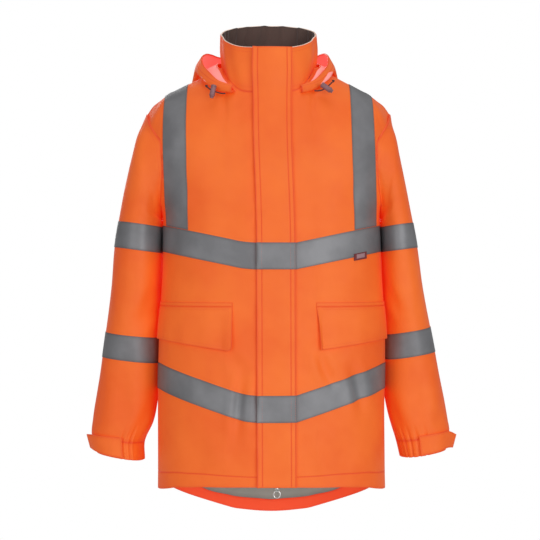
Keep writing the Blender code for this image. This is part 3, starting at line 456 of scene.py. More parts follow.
class Pattern:
    """A smooth surface through a grid of points. Rows and columns are read as fractions of the grid's own."""

    PROBE = 0.0004
    TRIED = 12

    def __init__(self, points, inside, closed=False, relief=None):
        grid = np.array([[tuple(point) for point in row] for row in points])
        self.count = grid.shape[1]
        self.closed = closed
        self.spare = 3 if closed else 0
        if closed:
            grid = np.concatenate([grid[:, -3:], grid, grid[:, :4]], axis=1)
        self.grid = grid
        self.up_knots = self.measure(np.diff(grid, axis=0), 1)
        self.across_knots = self.measure(np.diff(grid, axis=1), 0)
        self.relief = relief
        self.sign = 1.0
        tried = [np.linspace(0.5, reach - 1.5, self.TRIED) for reach in (len(grid), self.count)]
        rows, columns = np.meshgrid(*tried)
        spots, normals, _, _ = self.bare(rows, columns)
        if np.mean(np.sum((spots - np.array(inside)) * normals, axis=-1)) < 0:
            self.sign = -1.0

    @staticmethod
    def measure(steps, over):
        return np.concatenate([[0.0], np.cumsum(np.linalg.norm(steps, axis=2).mean(axis=over))])

    def metres(self, rows, columns):
        """How far along the cloth a row and a column are."""
        up = np.interp(rows, np.arange(len(self.up_knots)), self.up_knots)
        index = np.arange(len(self.across_knots))
        across = np.interp(np.asarray(columns) + self.spare, index, self.across_knots)
        return up, across

    def surface(self, up, across):
        shape = up.shape
        row_weights = spline_weights(self.up_knots, up.ravel())
        column_weights = spline_weights(self.across_knots, across.ravel())
        strips = np.tensordot(row_weights, self.grid, axes=(1, 0))
        return np.einsum("nc,nck->nk", column_weights, strips).reshape(*shape, 3)

    def bare(self, rows, columns):
        """Points, normals and the metres across and up, before any crease."""
        up, across = self.metres(rows, columns)
        step = self.PROBE
        low, high = np.maximum(up - step, 0), np.minimum(up + step, self.up_knots[-1])
        left, right = np.maximum(across - step, 0), np.minimum(across + step, self.across_knots[-1])
        along = self.surface(high, across) - self.surface(low, across)
        beside = self.surface(up, right) - self.surface(up, left)
        normals = np.cross(beside, along)
        normals /= np.linalg.norm(normals, axis=-1, keepdims=True) + 1e-15
        return self.surface(up, across), normals * self.sign, across, up

    def lay(self, rows, columns, lift=0.0):
        """Points moved out by a lift and by the creases, with normals and the metres across and up."""
        rows, columns = np.broadcast_arrays(np.asarray(rows, float), np.asarray(columns, float))
        spots, normals, across, up = self.bare(rows, columns)
        rise = np.broadcast_to(np.asarray(lift, float), rows.shape)
        if self.relief:
            rise = rise + self.relief(spots, across, up)
        return spots + normals * rise[..., None], normals, across, up

    def places(self, way, start, end, size, close_to=()):
        """Places from start to end about a size apart, and one at each grid line, edge and seam."""
        knots = self.up_knots if way == "up" else self.across_knots[self.spare:]
        index = np.arange(len(knots))
        stops = sorted({start, end, *[float(i) for i in index if start < i < end]})
        found = set()
        for low, high in zip(stops, stops[1:]):
            reach = np.interp(high, index, knots) - np.interp(low, index, knots)
            parts = max(1, math.ceil(reach / size))
            found |= {low + (high - low) * part / parts for part in range(parts)}
        found.add(end)
        first, last = np.interp([start, end], index, knots)
        near = [] if self.closed and way == "across" else [first + EDGE_LINE, last - EDGE_LINE]
        for seam in close_to:
            middle = np.interp(seam, index, knots)
            near += [middle + offset for offset in SEAM_LINES]
        found |= {float(np.interp(spot, knots, index)) for spot in near if first < spot < last}
        ordered = sorted(found)
        return np.array([p for p, q in zip(ordered, ordered[1:]) if q - p > 1e-4] + [ordered[-1]])


EDGE_LINE = 0.0009
SEAM_LINES = (-0.0024, -0.0012, 0.0, 0.0012, 0.0024)
SEAM_WIDTH = 0.0013
SEAM_DEPTH = 0.0005
# How far a piece's painted shade reaches in from its edges
PAINTED_EDGE_SHADE = 0.0016
SMALLEST_FLAT = 0.0101


def add_mesh(name, points, faces, finish):
    """A mesh of these points and faces, as a piece that rides on the garment."""
    mesh = bpy.data.meshes.new(name)
    mesh.from_pydata(points, [], faces)
    mesh.materials.append(finish)
    made = bpy.data.objects.new(name, mesh)
    scene.collection.objects.link(made)
    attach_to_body(made, "root")
    return made


def cut_cloth(name, pattern, rows, columns, lift, wall, grow, finish, nodes, shape=None, seams=(),
              wrap=False):
    """Cuts a piece from a pattern, presses in its seams, paints shade in its seam grooves and along its
    edges,
    and thickens it: grow 1 is outwards, -1 inwards.
    """
    row_grid, column_grid = np.meshgrid(rows, columns, indexing="ij")
    lifts = np.full(row_grid.shape, float(lift))
    if shape:
        row_grid, column_grid, lifts = shape(row_grid, column_grid, lifts)
    up, across = pattern.metres(row_grid, column_grid)
    # Painted shade: darker in each pressed seam groove and along every edge, kept in the mesh's seam
    # attribute
    painted_shade = np.zeros(up.shape)
    for way, place in seams:
        along = up if way == "up" else across
        line = pattern.metres(place, 0)[0] if way == "up" else pattern.metres(0, place)[1]
        dent = np.exp(-((along - line) / SEAM_WIDTH) ** 2)
        lifts = lifts - SEAM_DEPTH * dent
        painted_shade = np.maximum(painted_shade, dent)
    borders = [up - up[:1], up[-1:] - up]
    if not wrap:
        borders += [across - across[:, :1], across[:, -1:] - across]
    for border in borders:
        painted_shade = np.maximum(painted_shade, 0.8 * np.exp(-np.abs(border) / PAINTED_EDGE_SHADE))
    points, _, across, up = pattern.lay(row_grid, column_grid, lifts)
    height, width = up.shape
    index = np.arange(height * width).reshape(height, width)
    beside = np.roll(index, -1, axis=1) if wrap else index[:, 1:]
    here = index if wrap else index[:, :-1]
    corners = np.stack([here[:-1], beside[:-1], beside[1:], here[1:]], axis=-1)
    last_knot = pattern.spare + pattern.count if wrap else pattern.spare
    girth = pattern.across_knots[last_knot] - pattern.across_knots[pattern.spare]
    laps = np.roll(across, -1, axis=1) + np.where(np.arange(width) == width - 1, girth, 0.0)
    next_across = laps if wrap else across[:, 1:]
    here_across = across if wrap else across[:, :-1]
    flat_u = np.stack([here_across[:-1], next_across[:-1], next_across[1:], here_across[1:]], axis=-1)
    flat_v = np.take(up.ravel(), corners)
    if pattern.sign < 0:
        corners, flat_u, flat_v = corners[..., ::-1], flat_u[..., ::-1], flat_v[..., ::-1]
    made = add_mesh(name, points.reshape(-1, 3).tolist(), corners.reshape(-1, 4).tolist(), finish)
    mesh = made.data
    cut_map = mesh.uv_layers.new(name="cut")
    cut_map.data.foreach_set("uv", np.stack([flat_u, flat_v], axis=-1).astype(np.float32).ravel())
    # The painted shade goes to the shader as the seam attribute
    painted_shade_and_strand_tone = mesh.attributes.new("seam", "FLOAT", "POINT")
    painted_shade_and_strand_tone.data.foreach_set("value", painted_shade.astype(np.float32).ravel())
    mesh.shade_smooth()
    thickness = made.modifiers.new("Wall", "SOLIDIFY")
    thickness.thickness = wall
    thickness.offset = grow
    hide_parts(*nodes)
    rings = points[:, list(range(width)) + [0]] if wrap else points
    wide = np.linalg.norm(np.diff(rings, axis=1), axis=2).sum(axis=1).max()
    long = np.linalg.norm(np.diff(points, axis=0), axis=2).sum(axis=0).max()
    wide, long = max(float(wide), SMALLEST_FLAT), max(float(long), SMALLEST_FLAT)


# Creases: a soft trough with a low ridge to each side, fading at both ends; a minus depth is a ridge
RIDGE_SHARE = 0.42
RIDGE_AT = 1.75


def crease(across, up, start, end, width, depth, bow):
    (x1, y1), (x2, y2) = start, end
    length = math.hypot(x2 - x1, y2 - y1)
    t = ((across - x1) * (x2 - x1) + (up - y1) * (y2 - y1)) / length ** 2
    fade = np.sin(np.pi * np.clip(t, 0, 1)) ** 1.3
    bend = bow * np.sin(np.pi * np.clip(t, 0, 1))
    off = ((across - x1) * (y2 - y1) - (up - y1) * (x2 - x1)) / length - bend
    s = off / width
    ridges = np.exp(-(s - RIDGE_AT) ** 2) + np.exp(-(s + RIDGE_AT) ** 2)
    return depth * fade * (RIDGE_SHARE * ridges - np.exp(-s ** 2))


#                x1      z1      x2      z2      width   depth   bow
FRONT_CREASES = ((0.084, -0.543, 0.123, -0.626, 0.0100, 0.0052, 0.004),
                 (0.070, -0.535, 0.092, -0.600, 0.0120, -0.0012, 0.002),
                 (-0.050, -0.565, -0.066, -0.740, 0.0100, 0.0062, 0.003),
                 (0.146, -0.560, 0.176, -0.690, 0.0110, 0.0060, -0.004),
                 (-0.134, -0.580, -0.118, -0.655, 0.0140, 0.0014, 0.002),
                 (-0.052, -0.262, -0.100, -0.352, 0.0180, 0.0015, 0.004),
                 (-0.196, -0.215, -0.128, -0.292, 0.0200, 0.0018, -0.006),
                 (0.192, -0.226, 0.132, -0.296, 0.0190, 0.0018, 0.006),
                 (-0.030, -0.098, -0.078, -0.121, 0.0100, 0.0014, 0.002),
                 (0.050, -0.076, 0.104, -0.110, 0.0110, 0.0012, -0.002),
                 (-0.088, -0.545, -0.058, -0.596, 0.0110, 0.0020, -0.003),
                 (-0.206, -0.382, -0.136, -0.430, 0.0200, 0.0020, 0.005),
                 (0.208, -0.424, 0.128, -0.452, 0.0190, 0.0016, -0.004),
                 (-0.143, -0.690, -0.126, -0.800, 0.0240, 0.0024, 0.004),
                 (0.136, -0.695, 0.122, -0.804, 0.0260, 0.0024, -0.005),
                 (0.062, -0.700, 0.072, -0.800, 0.0180, 0.0015, 0.003),
                 (-0.075, -0.700, -0.070, -0.795, 0.0170, 0.0013, -0.003),
                 (0.070, -0.200, 0.098, -0.330, 0.0220, 0.0012, 0.006),
                 (-0.150, -0.120, -0.172, -0.215, 0.0160, 0.0012, 0.003))
BACK_CREASES = ((-0.195, -0.240, -0.095, -0.345, 0.0210, 0.0040, -0.006),
                (0.190, -0.232, 0.118, -0.352, 0.0190, 0.0036, 0.006),
                (-0.178, -0.392, -0.046, -0.452, 0.0200, 0.0028, 0.005),
                (0.196, -0.412, 0.078, -0.446, 0.0180, 0.0024, -0.004),
                (-0.058, -0.462, -0.092, -0.604, 0.0180, 0.0026, 0.004),
                (0.048, -0.492, 0.078, -0.618, 0.0200, 0.0024, -0.004),
                (-0.128, -0.652, -0.152, -0.852, 0.0250, 0.0034, 0.005),
                (0.018, -0.655, 0.036, -0.885, 0.0290, 0.0032, 0.006),
                (0.152, -0.645, 0.138, -0.846, 0.0230, 0.0030, -0.004),
                (-0.044, -0.700, -0.030, -0.890, 0.0210, 0.0024, -0.004),
                (0.092, -0.700, 0.098, -0.870, 0.0180, 0.0018, 0.003),
                (-0.030, -0.250, 0.050, -0.296, 0.0190, 0.0018, 0.003))
SWELL = ((23.0, 9.0, 0.4, 0.0007), (11.0, 17.0, 1.9, 0.0009), (37.0, 6.0, 3.1, 0.0004))


def torso_relief(spots, across, up):
    """The creases of the fronts and the back, by their place on the body, and a slight unevenness."""
    x, y, z = spots[..., 0], spots[..., 1], spots[..., 2]
    rise = sum(depth * np.sin(x * a + z * b + turn) for a, b, turn, depth in SWELL)
    for table, side in ((FRONT_CREASES, -1), (BACK_CREASES, 1)):
        share = np.clip(side * y / 0.03, 0, 1)
        for x1, z1, x2, z2, width, depth, bow in table:
            rise = rise + share * crease(x, z, (x1, z1), (x2, z2), width, depth, bow)
    return rise * np.clip(np.abs(y) / 0.012, 0, 1)


# Proofed polyester, plain woven and coated: smooth, faintly cloudy, a soft sheen at grazing angles, a darker,
# redder painted shade in its seam grooves and along its edges. Its threads are 0.4 mm apart, drawn at 1.3 mm,
# which is the finest that shows.
THREAD_PITCH = 0.0013
CLOUD_SCALE = 7.0
CRUMPLE_SCALE = 55.0
CRUMPLE_DEPTH = 0.00035
# The colour of the painted glow
PAINTED_GLOW_RED = "#FF2A00"


def woven(name, body, lighter, painted_shade_colour, pitch, roughness, sheen, glow=0.0, weave_depth=0.00012,
          glow_shade=PAINTED_GLOW_RED):
    """Woven cloth: threads from its cut map, clouded colour, a darker painted shade along the seams and
    edges, and a painted glow where glow is given.
    """
    finish, tree, shader = new_finish(name)
    flat = add_node(tree, "ShaderNodeUVMap", {"uv_map": "cut"})
    split = add_node(tree, "ShaderNodeSeparateXYZ", links={0: flat.outputs[0]})
    waves = []
    for way in (0, 1):
        turns = add_node(tree, "ShaderNodeMath", {"operation": "MULTIPLY", 1: 2 * math.pi / pitch},
                         {0: split.outputs[way]})
        waves.append(add_node(tree, "ShaderNodeMath", {"operation": "SINE"}, {0: turns.outputs[0]}))
    weave = add_node(tree, "ShaderNodeMath", {"operation": "MULTIPLY"},
                     {0: waves[0].outputs[0], 1: waves[1].outputs[0]})
    cloudy = add_node(tree, "ShaderNodeTexNoise", {"Scale": CLOUD_SCALE, "Detail": 3.0, "Roughness": 0.55},
                      {"Vector": object_place(tree)})
    spread = add_node(tree, "ShaderNodeMapRange", {"From Min": 0.36, "From Max": 0.64},
                      {"Value": cloudy.outputs["Fac"]})
    shade = add_node(tree, "ShaderNodeMix", {"data_type": "RGBA", 6: linear(body), 7: linear(lighter)},
                     {0: spread.outputs[0]})
    # The seam attribute carries the painted shade of seam grooves and edges, mixed in with the darker shade
    # given
    seam = add_node(tree, "ShaderNodeAttribute", {"attribute_name": "seam"})
    near = add_node(tree, "ShaderNodeMath", {"operation": "MULTIPLY", 1: 0.75}, {0: seam.outputs["Fac"]})
    sewn = add_node(tree, "ShaderNodeMix", {"data_type": "RGBA", 7: linear(painted_shade_colour)},
                    {0: near.outputs[0], 6: shade.outputs[2]})
    tree.links.new(sewn.outputs[2], shader.inputs["Base Color"])
    rumple = add_node(tree, "ShaderNodeTexNoise", {"Scale": CRUMPLE_SCALE, "Detail": 2.0},
                      {"Vector": object_place(tree)})
    soft = add_node(tree, "ShaderNodeBump", {"Strength": 0.5, "Distance": CRUMPLE_DEPTH},
                    {"Height": rumple.outputs["Fac"]})
    threads = add_node(tree, "ShaderNodeBump", {"Strength": 0.4, "Distance": weave_depth},
                       {"Height": weave.outputs[0], "Normal": soft.outputs[0]})
    tree.links.new(threads.outputs[0], shader.inputs["Normal"])
    rough = add_node(tree, "ShaderNodeMapRange", {"To Min": roughness - 0.06, "To Max": roughness + 0.06},
                     {"Value": rumple.outputs["Fac"]})
    tree.links.new(rough.outputs[0], shader.inputs["Roughness"])
    shader.inputs["Sheen Weight"].default_value = sheen
    shader.inputs["Sheen Roughness"].default_value = 0.4
    # Painted glow: a steady emission, lit or not
    if glow:
        shader.inputs["Emission Color"].default_value = linear(glow_shade)
        shader.inputs["Emission Strength"].default_value = glow
    return finish


# Its dye is fluorescent; the red emission given here is a painted glow that keeps its shadows red whatever
# light falls on it. The last of its shades is the painted shade of seams and edges.
ORANGE_SHADES = ("#CE6210", "#D7711C", "#BE3A0C")
proofed_polyester = woven("proofed_polyester", *ORANGE_SHADES, THREAD_PITCH, 0.62, 0.08, glow=0.27)

CLOTH_STEP = 0.005
INSIDE = (0.0, 0.0, -0.40)
HEM_STITCH_ROW = 0.165
FRONT_TOP = len(FRONT_ROWS) + len(UPPER_SHARES) - 1
SIDE_COLUMN = 11
fronts = {}
for hand_name, hand in HANDS.items():
    front = Pattern(half_panel(FRONT_ROWS, hand, -1, zip_columns), INSIDE, relief=torso_relief)
    fronts[hand_name] = front
    rows = front.places("up", 0.0, float(FRONT_TOP), CLOTH_STEP, (HEM_STITCH_ROW,))
    columns = front.places("across", 0.0, float(SIDE_COLUMN), CLOTH_STEP)
    cut_cloth("front_" + hand_name + "_cloth", front, rows, columns, 0.0, SHELL_WALL, -1, proofed_polyester,
              ["front_" + hand_name], seams=[("up", HEM_STITCH_ROW)])

# Lock stitches in orange thread, 3 mm long; thread and gap are drawn a little thick so that they show
STITCH_LENGTH = 0.0030
STITCH_GAP = 0.0013
THREAD_WIDTH = 0.0007
THREAD_HEIGHT = 0.0004
STRAND_SCALE = 900.0
STITCH_SINK = 0.0003


def sewing_thread(name, colour, glow=0.0):
    """Twisted polyester thread: a slight gloss and slanting strands, and a painted red glow where glow is
    given.
    """
    finish, tree, shader = new_finish(name)
    strands = add_node(tree, "ShaderNodeTexNoise", {"Scale": STRAND_SCALE, "Detail": 1.0},
                       {"Vector": object_place(tree)})
    painted_shade_and_strand_tone = tuple(min(value * 1.25, 1.0) for value in linear(colour))
    shade = add_node(tree, "ShaderNodeMix", {"data_type": "RGBA", 6: linear(colour), 7: painted_shade_and_strand_tone},
                     {0: strands.outputs["Fac"]})
    tree.links.new(shade.outputs[2], shader.inputs["Base Color"])
    shader.inputs["Roughness"].default_value = 0.5
    shader.inputs["Emission Color"].default_value = linear(PAINTED_GLOW_RED)
    shader.inputs["Emission Strength"].default_value = glow
    return finish


# Orange thread with a painted red glow
orange_thread = sewing_thread("orange_polyester_thread", "#C24A1C", 0.2)


def stitch_line(pattern, rows, columns, lift):
    """Points and normals along a seam, a millimetre or so apart."""
    points, normals, _, _ = pattern.lay(rows, columns, lift)
    return points, normals


def sew(name, lines, finish):
    """Every stitch of a group of seams: a low bar of thread with a raised middle, joined in one mesh."""
    corners, faces = [], []
    for points, normals in lines:
        reach = np.concatenate([[0.0], np.cumsum(np.linalg.norm(np.diff(points, axis=0), axis=1))])
        count = int(reach[-1] / (STITCH_LENGTH + STITCH_GAP))
        if count < 1:
            continue
        starts = (np.arange(count) + 0.5) * reach[-1] / count - STITCH_LENGTH / 2
        first, middle, last = (np.stack([np.interp(starts + STITCH_LENGTH * share, reach, points[:, k])
                                         for k in range(3)], axis=1) for share in (0.0, 0.5, 1.0))
        halfway = starts + STITCH_LENGTH / 2
        out = np.stack([np.interp(halfway, reach, normals[:, k]) for k in range(3)], axis=1)
        side = np.cross(last - first, out)
        side *= THREAD_WIDTH / 2 / (np.linalg.norm(side, axis=1, keepdims=True) + 1e-12)
        rise = out * THREAD_HEIGHT
        rings = []
        for centre, share in ((first, 0.55), (middle, 1.0), (last, 0.55)):
            rings += [centre - side * share, centre + rise * share, centre + side * share]
        made = np.stack(rings, axis=1)
        base = sum(len(c) for c in corners)
        corners.append(made.reshape(-1, 3))
        starts_at = base + np.arange(count) * 9
        for a, b, c, d in ((0, 1, 4, 3), (1, 2, 5, 4), (2, 0, 3, 5),
                           (3, 4, 7, 6), (4, 5, 8, 7), (5, 3, 6, 8)):
            faces += [(s + d, s + c, s + b, s + a) for s in starts_at.tolist()]
        faces += [(s, s + 1, s + 2) for s in starts_at.tolist()]
        faces += [(s + 8, s + 7, s + 6) for s in starts_at.tolist()]
    add_mesh(name, np.concatenate(corners).tolist(), faces, finish)


hem_lines = []
for hand_name, front in fronts.items():
    along = front.places("across", 0.9, SIDE_COLUMN - 0.06, 0.003)
    hem_lines.append(stitch_line(front, HEM_STITCH_ROW, along, -STITCH_SINK))
sew("front_hem_stitching", hem_lines, orange_thread)

# ---------------------------------------------------------------- the back
# One panel of the same cloth from side seam to side seam, with a long curved tail that drops below the
# fronts. One row of stitching runs above its hem.
BACK_INNER = 0.030
BACK_ROWS = {
    "hem": ((0.0, -0.903), (0.040, -0.9014), (0.078, -0.8960), (0.100, -0.8892), (0.123, -0.8812),
            (0.157, -0.868), (0.195, -0.850), (0.220, -0.825)),
    "facing_top": ((0.0, -0.878), (0.070, -0.8725), (0.1325, -0.857), (0.191, -0.826),
                   (0.220, -0.800)),
    "lower_bottom": ((0.0, -0.650), (0.214, -0.630)),
    "lower_top": ((0.0, -0.600), (0.214, -0.580)),
    "waist": ((0.0, -0.480), (0.214, -0.470)),
    "chest_bottom": ((0.0, -0.360), (0.214, -0.364)),
    "chest_top": ((0.0, -0.310), (0.214, -0.313)),
}
BACK_TOP = len(BACK_ROWS) + len(UPPER_SHARES) - 1
BACK_SIDE_COLUMN = 22
BACK_CENTRE = 11


def back_columns(z, hand):
    return [0.0, hand * BACK_INNER]


back_halves = [half_panel(BACK_ROWS, hand, 1, back_columns) for hand in (-1, 1)]
back = Pattern([right[:0:-1] + left for right, left in zip(*back_halves)], INSIDE, relief=torso_relief)
TAIL_STITCH_ROW = 0.80
rows = back.places("up", 0.0, float(BACK_TOP), CLOTH_STEP, (TAIL_STITCH_ROW,))
columns = back.places("across", 0.0, float(BACK_SIDE_COLUMN), 0.006)
cut_cloth("back_cloth", back, rows, columns, 0.0, SHELL_WALL, -1, proofed_polyester, ["back"],
          seams=[("up", TAIL_STITCH_ROW)])
along = back.places("across", 0.05, BACK_SIDE_COLUMN - 0.05, 0.003)
sew("tail_stitching", [stitch_line(back, TAIL_STITCH_ROW, along, -STITCH_SINK)], orange_thread)

# ---------------------------------------------------------------- seams between the panels
# Side and shoulder seams are sewn from inside and turned, so each shows as a thin rolled line of the shell
# cloth, where it is pulled tight over the seam.
ROLL_RADIUS = 0.0011
ROLL_SINK = 0.0006
SHOULDER_FROM = 3.95


def rolled_seam(name, points, radius=ROLL_RADIUS, closed=False, ends=1.0):
    roll = tube(name, [tuple(point) for point in points], radius, rolled_polyester, closed, 1, ends)


# The same proofed polyester on the rolled seams: no weave shows; its darker, redder colour is a painted shade
# along the seam lines, and it has a painted red glow
rolled_polyester = sewing_thread("rolled_polyester", "#C4501E", 0.24)

for hand_name, hand in HANDS.items():
    front = fronts[hand_name]
    rows = front.places("up", 0.02, 8.0, 0.008)
    side_seam, _, _, _ = front.lay(rows, float(SIDE_COLUMN) - 0.004, -ROLL_SINK)
    side_seam[:, 1] = 0.0
    rolled_seam("side_seam_" + hand_name, side_seam)
    columns = front.places("across", SHOULDER_FROM, float(SIDE_COLUMN), 0.008)
    shoulder_seam, _, _, _ = front.lay(float(FRONT_TOP), columns, -ROLL_SINK)
    shoulder_seam[:, 1] = 0.0
    rolled_seam("shoulder_seam_" + hand_name, shoulder_seam)

# ---------------------------------------------------------------- reflective tape on the panels
# Grey tape faced with glass beads on a cotton backing, laid flat on the shell and stitched along both edges:
# two bands 50 mm high round the body, and a brace over each shoulder that the chest band covers at its end.
LAYER_GAP = 0.0004
TAPE_WALL = 0.0005
TAPE_STEP = 0.005
TAPE_ROUND_STEP = 0.0035
THREAD_BED = 0.0001
SEAM_SHARE = 0.03
TAPE_STITCH = 0.0022
TAPE_ENDS = (0.25, 10.98)
BACK_TAPE_ENDS = (0.02, 21.98)
LOWER_ROW, CHEST_ROW = 1, 6
BACK_LOWER_ROW, BACK_CHEST_ROW = 2, 5
BRACE_FROM, BRACE_TO = 6, 8

# Glass-bead tape: grey and satin, the beads too fine to see and drawn as a coarse grain; the washed, folded
# cloth behind it shows as faint cloudy patches. A painted shade darkens it along its edges.
BEAD_SCALE = 900.0
glass_bead_tape, tree, bead_shader = new_finish("glass_bead_tape")
beads = add_node(tree, "ShaderNodeTexVoronoi", {"Scale": BEAD_SCALE}, {"Vector": object_place(tree)})
patches = add_node(tree, "ShaderNodeTexNoise", {"Scale": 16.0, "Detail": 4.0}, {"Vector": object_place(tree)})
patchy = add_node(tree, "ShaderNodeMapRange", {"From Min": 0.35, "From Max": 0.65},
                  {"Value": patches.outputs["Fac"]})
shade = add_node(tree, "ShaderNodeMix", {"data_type": "RGBA", 6: linear("#727275"), 7: linear("#828285")},
                 {0: patchy.outputs[0]})
# Painted shade along the tape's edges, from the seam attribute
edge = add_node(tree, "ShaderNodeAttribute", {"attribute_name": "seam"})
painted_shade_and_strand_tone = add_node(tree, "ShaderNodeMix", {"data_type": "RGBA", 7: linear("#5E5A5A")},
                {0: edge.outputs["Fac"], 6: shade.outputs[2]})
tree.links.new(painted_shade_and_strand_tone.outputs[2], bead_shader.inputs["Base Color"])
grain = add_node(tree, "ShaderNodeBump", {"Strength": 0.35, "Distance": 0.0002},
                 {"Height": beads.outputs["Distance"]})
tree.links.new(grain.outputs[0], bead_shader.inputs["Normal"])
bead_shader.inputs["Roughness"].default_value = 0.5
bead_shader.inputs["Metallic"].default_value = 0.25

tape_thread = sewing_thread("grey_polyester_thread", "#6E625C")
tape_lines = []


def lay_tape(node, pattern, rows, columns, lift=LAYER_GAP, wrap=False, shape=None, edges="rows"):
    """A length of tape on a pattern, with a line of stitches along each long edge."""
    up = pattern.places("up", rows[0], rows[1], TAPE_STEP)
    across = pattern.places("across", columns[0], columns[1], TAPE_ROUND_STEP if wrap else TAPE_STEP)
    cut_cloth(node + "_bead", pattern, up, across[:-1] if wrap else across, lift, TAPE_WALL, 1,
              glass_bead_tape, [node], shape=shape, wrap=wrap)
    knots = pattern.up_knots if edges == "rows" else pattern.across_knots[pattern.spare:]
    ends = rows if edges == "rows" else columns
    index = np.arange(len(knots))
    for end, way in ((ends[0], 1), (ends[1], -1)):
        sewn = float(np.interp(np.interp(end, index, knots) + way * TAPE_STITCH, knots, index))
        line = (sewn, across) if edges == "rows" else (up, sewn)
        line_rows, line_columns = np.broadcast_arrays(np.asarray(line[0], float), np.asarray(line[1], float))
        lifts = np.full(line_rows.shape, lift + TAPE_WALL - THREAD_BED)
        if shape:
            line_rows, line_columns, lifts = shape(line_rows, line_columns, lifts)
        tape_lines.append(stitch_line(pattern, line_rows, line_columns, lifts))


for hand_name, front in fronts.items():
    for node, row in (("chest_tape_front_", CHEST_ROW), ("lower_tape_front_", LOWER_ROW)):
        lay_tape(node + hand_name, front, (row, row + 1), TAPE_ENDS)
    lay_tape("brace_tape_front_" + hand_name, front, (CHEST_ROW + 1 + SEAM_SHARE, FRONT_TOP - SEAM_SHARE),
             (BRACE_FROM, BRACE_TO), edges="columns")
for node, row in (("chest_tape_back", BACK_CHEST_ROW), ("lower_tape_back", BACK_LOWER_ROW)):
    lay_tape(node, back, (row, row + 1), BACK_TAPE_ENDS)
for hand_name, columns in (("right", (3, 5)), ("left", (17, 19))):
    lay_tape("brace_tape_back_" + hand_name, back, (BACK_CHEST_ROW + 1 + SEAM_SHARE, BACK_TOP - SEAM_SHARE),
             columns, edges="columns")
sew("tape_stitching_body", tape_lines, tape_thread)

# ---------------------------------------------------------------- lower pockets
# Each pocket mouth is edged by a narrow welt and covered by a flap of two layers of shell cloth, sewn along
# its top and stitched round its free edges. The bag behind is plain grey lining, closed at its edges.
FLAP_ROW, WELT_ROW = 3, 5
POCKET_IN, POCKET_OUT = 3, 10
WELT_WALL = 0.0012
FLAP_WALL = 0.0016
FLAP_PROUD = 0.0032
FLAP_PROUD_AT_END = 0.0040
FLAP_IN_SHIFT = {"right": -0.20, "left": 0.43}
LEFT_FLAP_SLANT = 0.40
FLAP_TOP_SHARE = 0.995
FLAP_CORNER = 0.009
FLAP_HEIGHT = 0.078
FLAP_STITCH = 0.0065
LINING_GAP = 0.0012
LINING_WALL = 0.001
UNDER_LIFT = -(SHELL_WALL + LINING_GAP)
BAG_HANG = 0.004
BAG_ROWS, BAG_COLUMNS = (2.1, 3.95), (3.0, 9.0)


def flap_shape(hand_name):
    """Hangs a pocket flap: proud at its lower edge, more so at its inner end, with that corner rounded."""

    def hang(rows, columns, lifts):
        share = np.clip((rows - FLAP_ROW) / FLAP_TOP_SHARE, 0, 1)
        drop = np.interp(share, (0.0, 0.5, 1.0), (1.0, 0.6, 0.0))
        end = np.clip(1 - (columns - POCKET_IN), 0, 1)
        slant = LEFT_FLAP_SLANT * drop * end if hand_name == "left" else 0.0
        inset = (columns - POCKET_IN) * 0.019
        arc = np.sqrt(np.maximum(FLAP_CORNER ** 2 - (FLAP_CORNER - inset) ** 2, 0))
        bite = np.where(inset < FLAP_CORNER, FLAP_CORNER - arc, 0.0)
        rows = rows + bite / FLAP_HEIGHT * (1 - share)
        ripple = 0.0006 * drop * np.sin(columns * 4.1 + 0.8)
        return (rows, columns + slant + FLAP_IN_SHIFT[hand_name] * end,
                lifts + LAYER_GAP + FLAP_PROUD * drop + FLAP_PROUD_AT_END * drop * end + ripple)

    return hang


def bag_shape(rows, columns, lifts):
    (bottom, top), (inner, outer) = BAG_ROWS, BAG_COLUMNS
    belly = np.sin(np.pi * np.clip((rows - bottom) / (top - bottom), 0, 1))
    belly = belly * np.sin(np.pi * np.clip((columns - inner) / (outer - inner), 0, 1))
    return rows, columns, lifts - BAG_HANG * belly


# Grey-green polyester taffeta, thin and slightly shiny, in fine folds
taffeta_lining = woven("polyester_taffeta_lining", "#94A198", "#ABB7AE", "#767F79", 0.0011, 0.5, 0.1)

pocket_lines = []
for hand_name in HANDS:
    front, hang = fronts[hand_name], flap_shape(hand_name)
    welt_from = POCKET_IN + FLAP_IN_SHIFT[hand_name]
    cut_cloth("pocket_welt_%s_cloth" % hand_name, front, front.places("up", FLAP_ROW + 1.06, WELT_ROW, 0.003),
              front.places("across", welt_from, POCKET_OUT, CLOTH_STEP), LAYER_GAP, WELT_WALL, 1,
              proofed_polyester, ["pocket_welt_" + hand_name])
    cut_cloth("pocket_flap_%s_cloth" % hand_name, front,
              front.places("up", FLAP_ROW, FLAP_ROW + FLAP_TOP_SHARE, 0.0035),
              front.places("across", POCKET_IN, POCKET_OUT, 0.0035), 0.0, FLAP_WALL, 1, proofed_polyester,
              ["pocket_flap_" + hand_name], shape=hang)
    along = np.linspace(POCKET_IN + 0.34, POCKET_OUT - 0.15, 60)
    down = np.linspace(FLAP_ROW + 0.10, FLAP_ROW + 0.97, 24)
    stitch_row = FLAP_ROW + FLAP_STITCH / FLAP_HEIGHT
    for rows, columns in ((np.full(60, stitch_row), along), (np.full(60, FLAP_ROW + 0.93), along),
                          (down, np.full(24, POCKET_IN + 0.34)), (down, np.full(24, POCKET_OUT - 0.15))):
        rows, columns, lifts = hang(rows, columns, np.full(rows.shape, FLAP_WALL - THREAD_BED))
        pocket_lines.append(stitch_line(front, rows, columns, lifts))
    cut_cloth("pocket_bag_%s_cloth" % hand_name, front, front.places("up", *BAG_ROWS, 0.008),
              front.places("across", *BAG_COLUMNS, 0.008), UNDER_LIFT, LINING_WALL, -1, taffeta_lining,
              ["pocket_bag_" + hand_name], shape=bag_shape)
sew("pocket_stitching", pocket_lines, orange_thread)

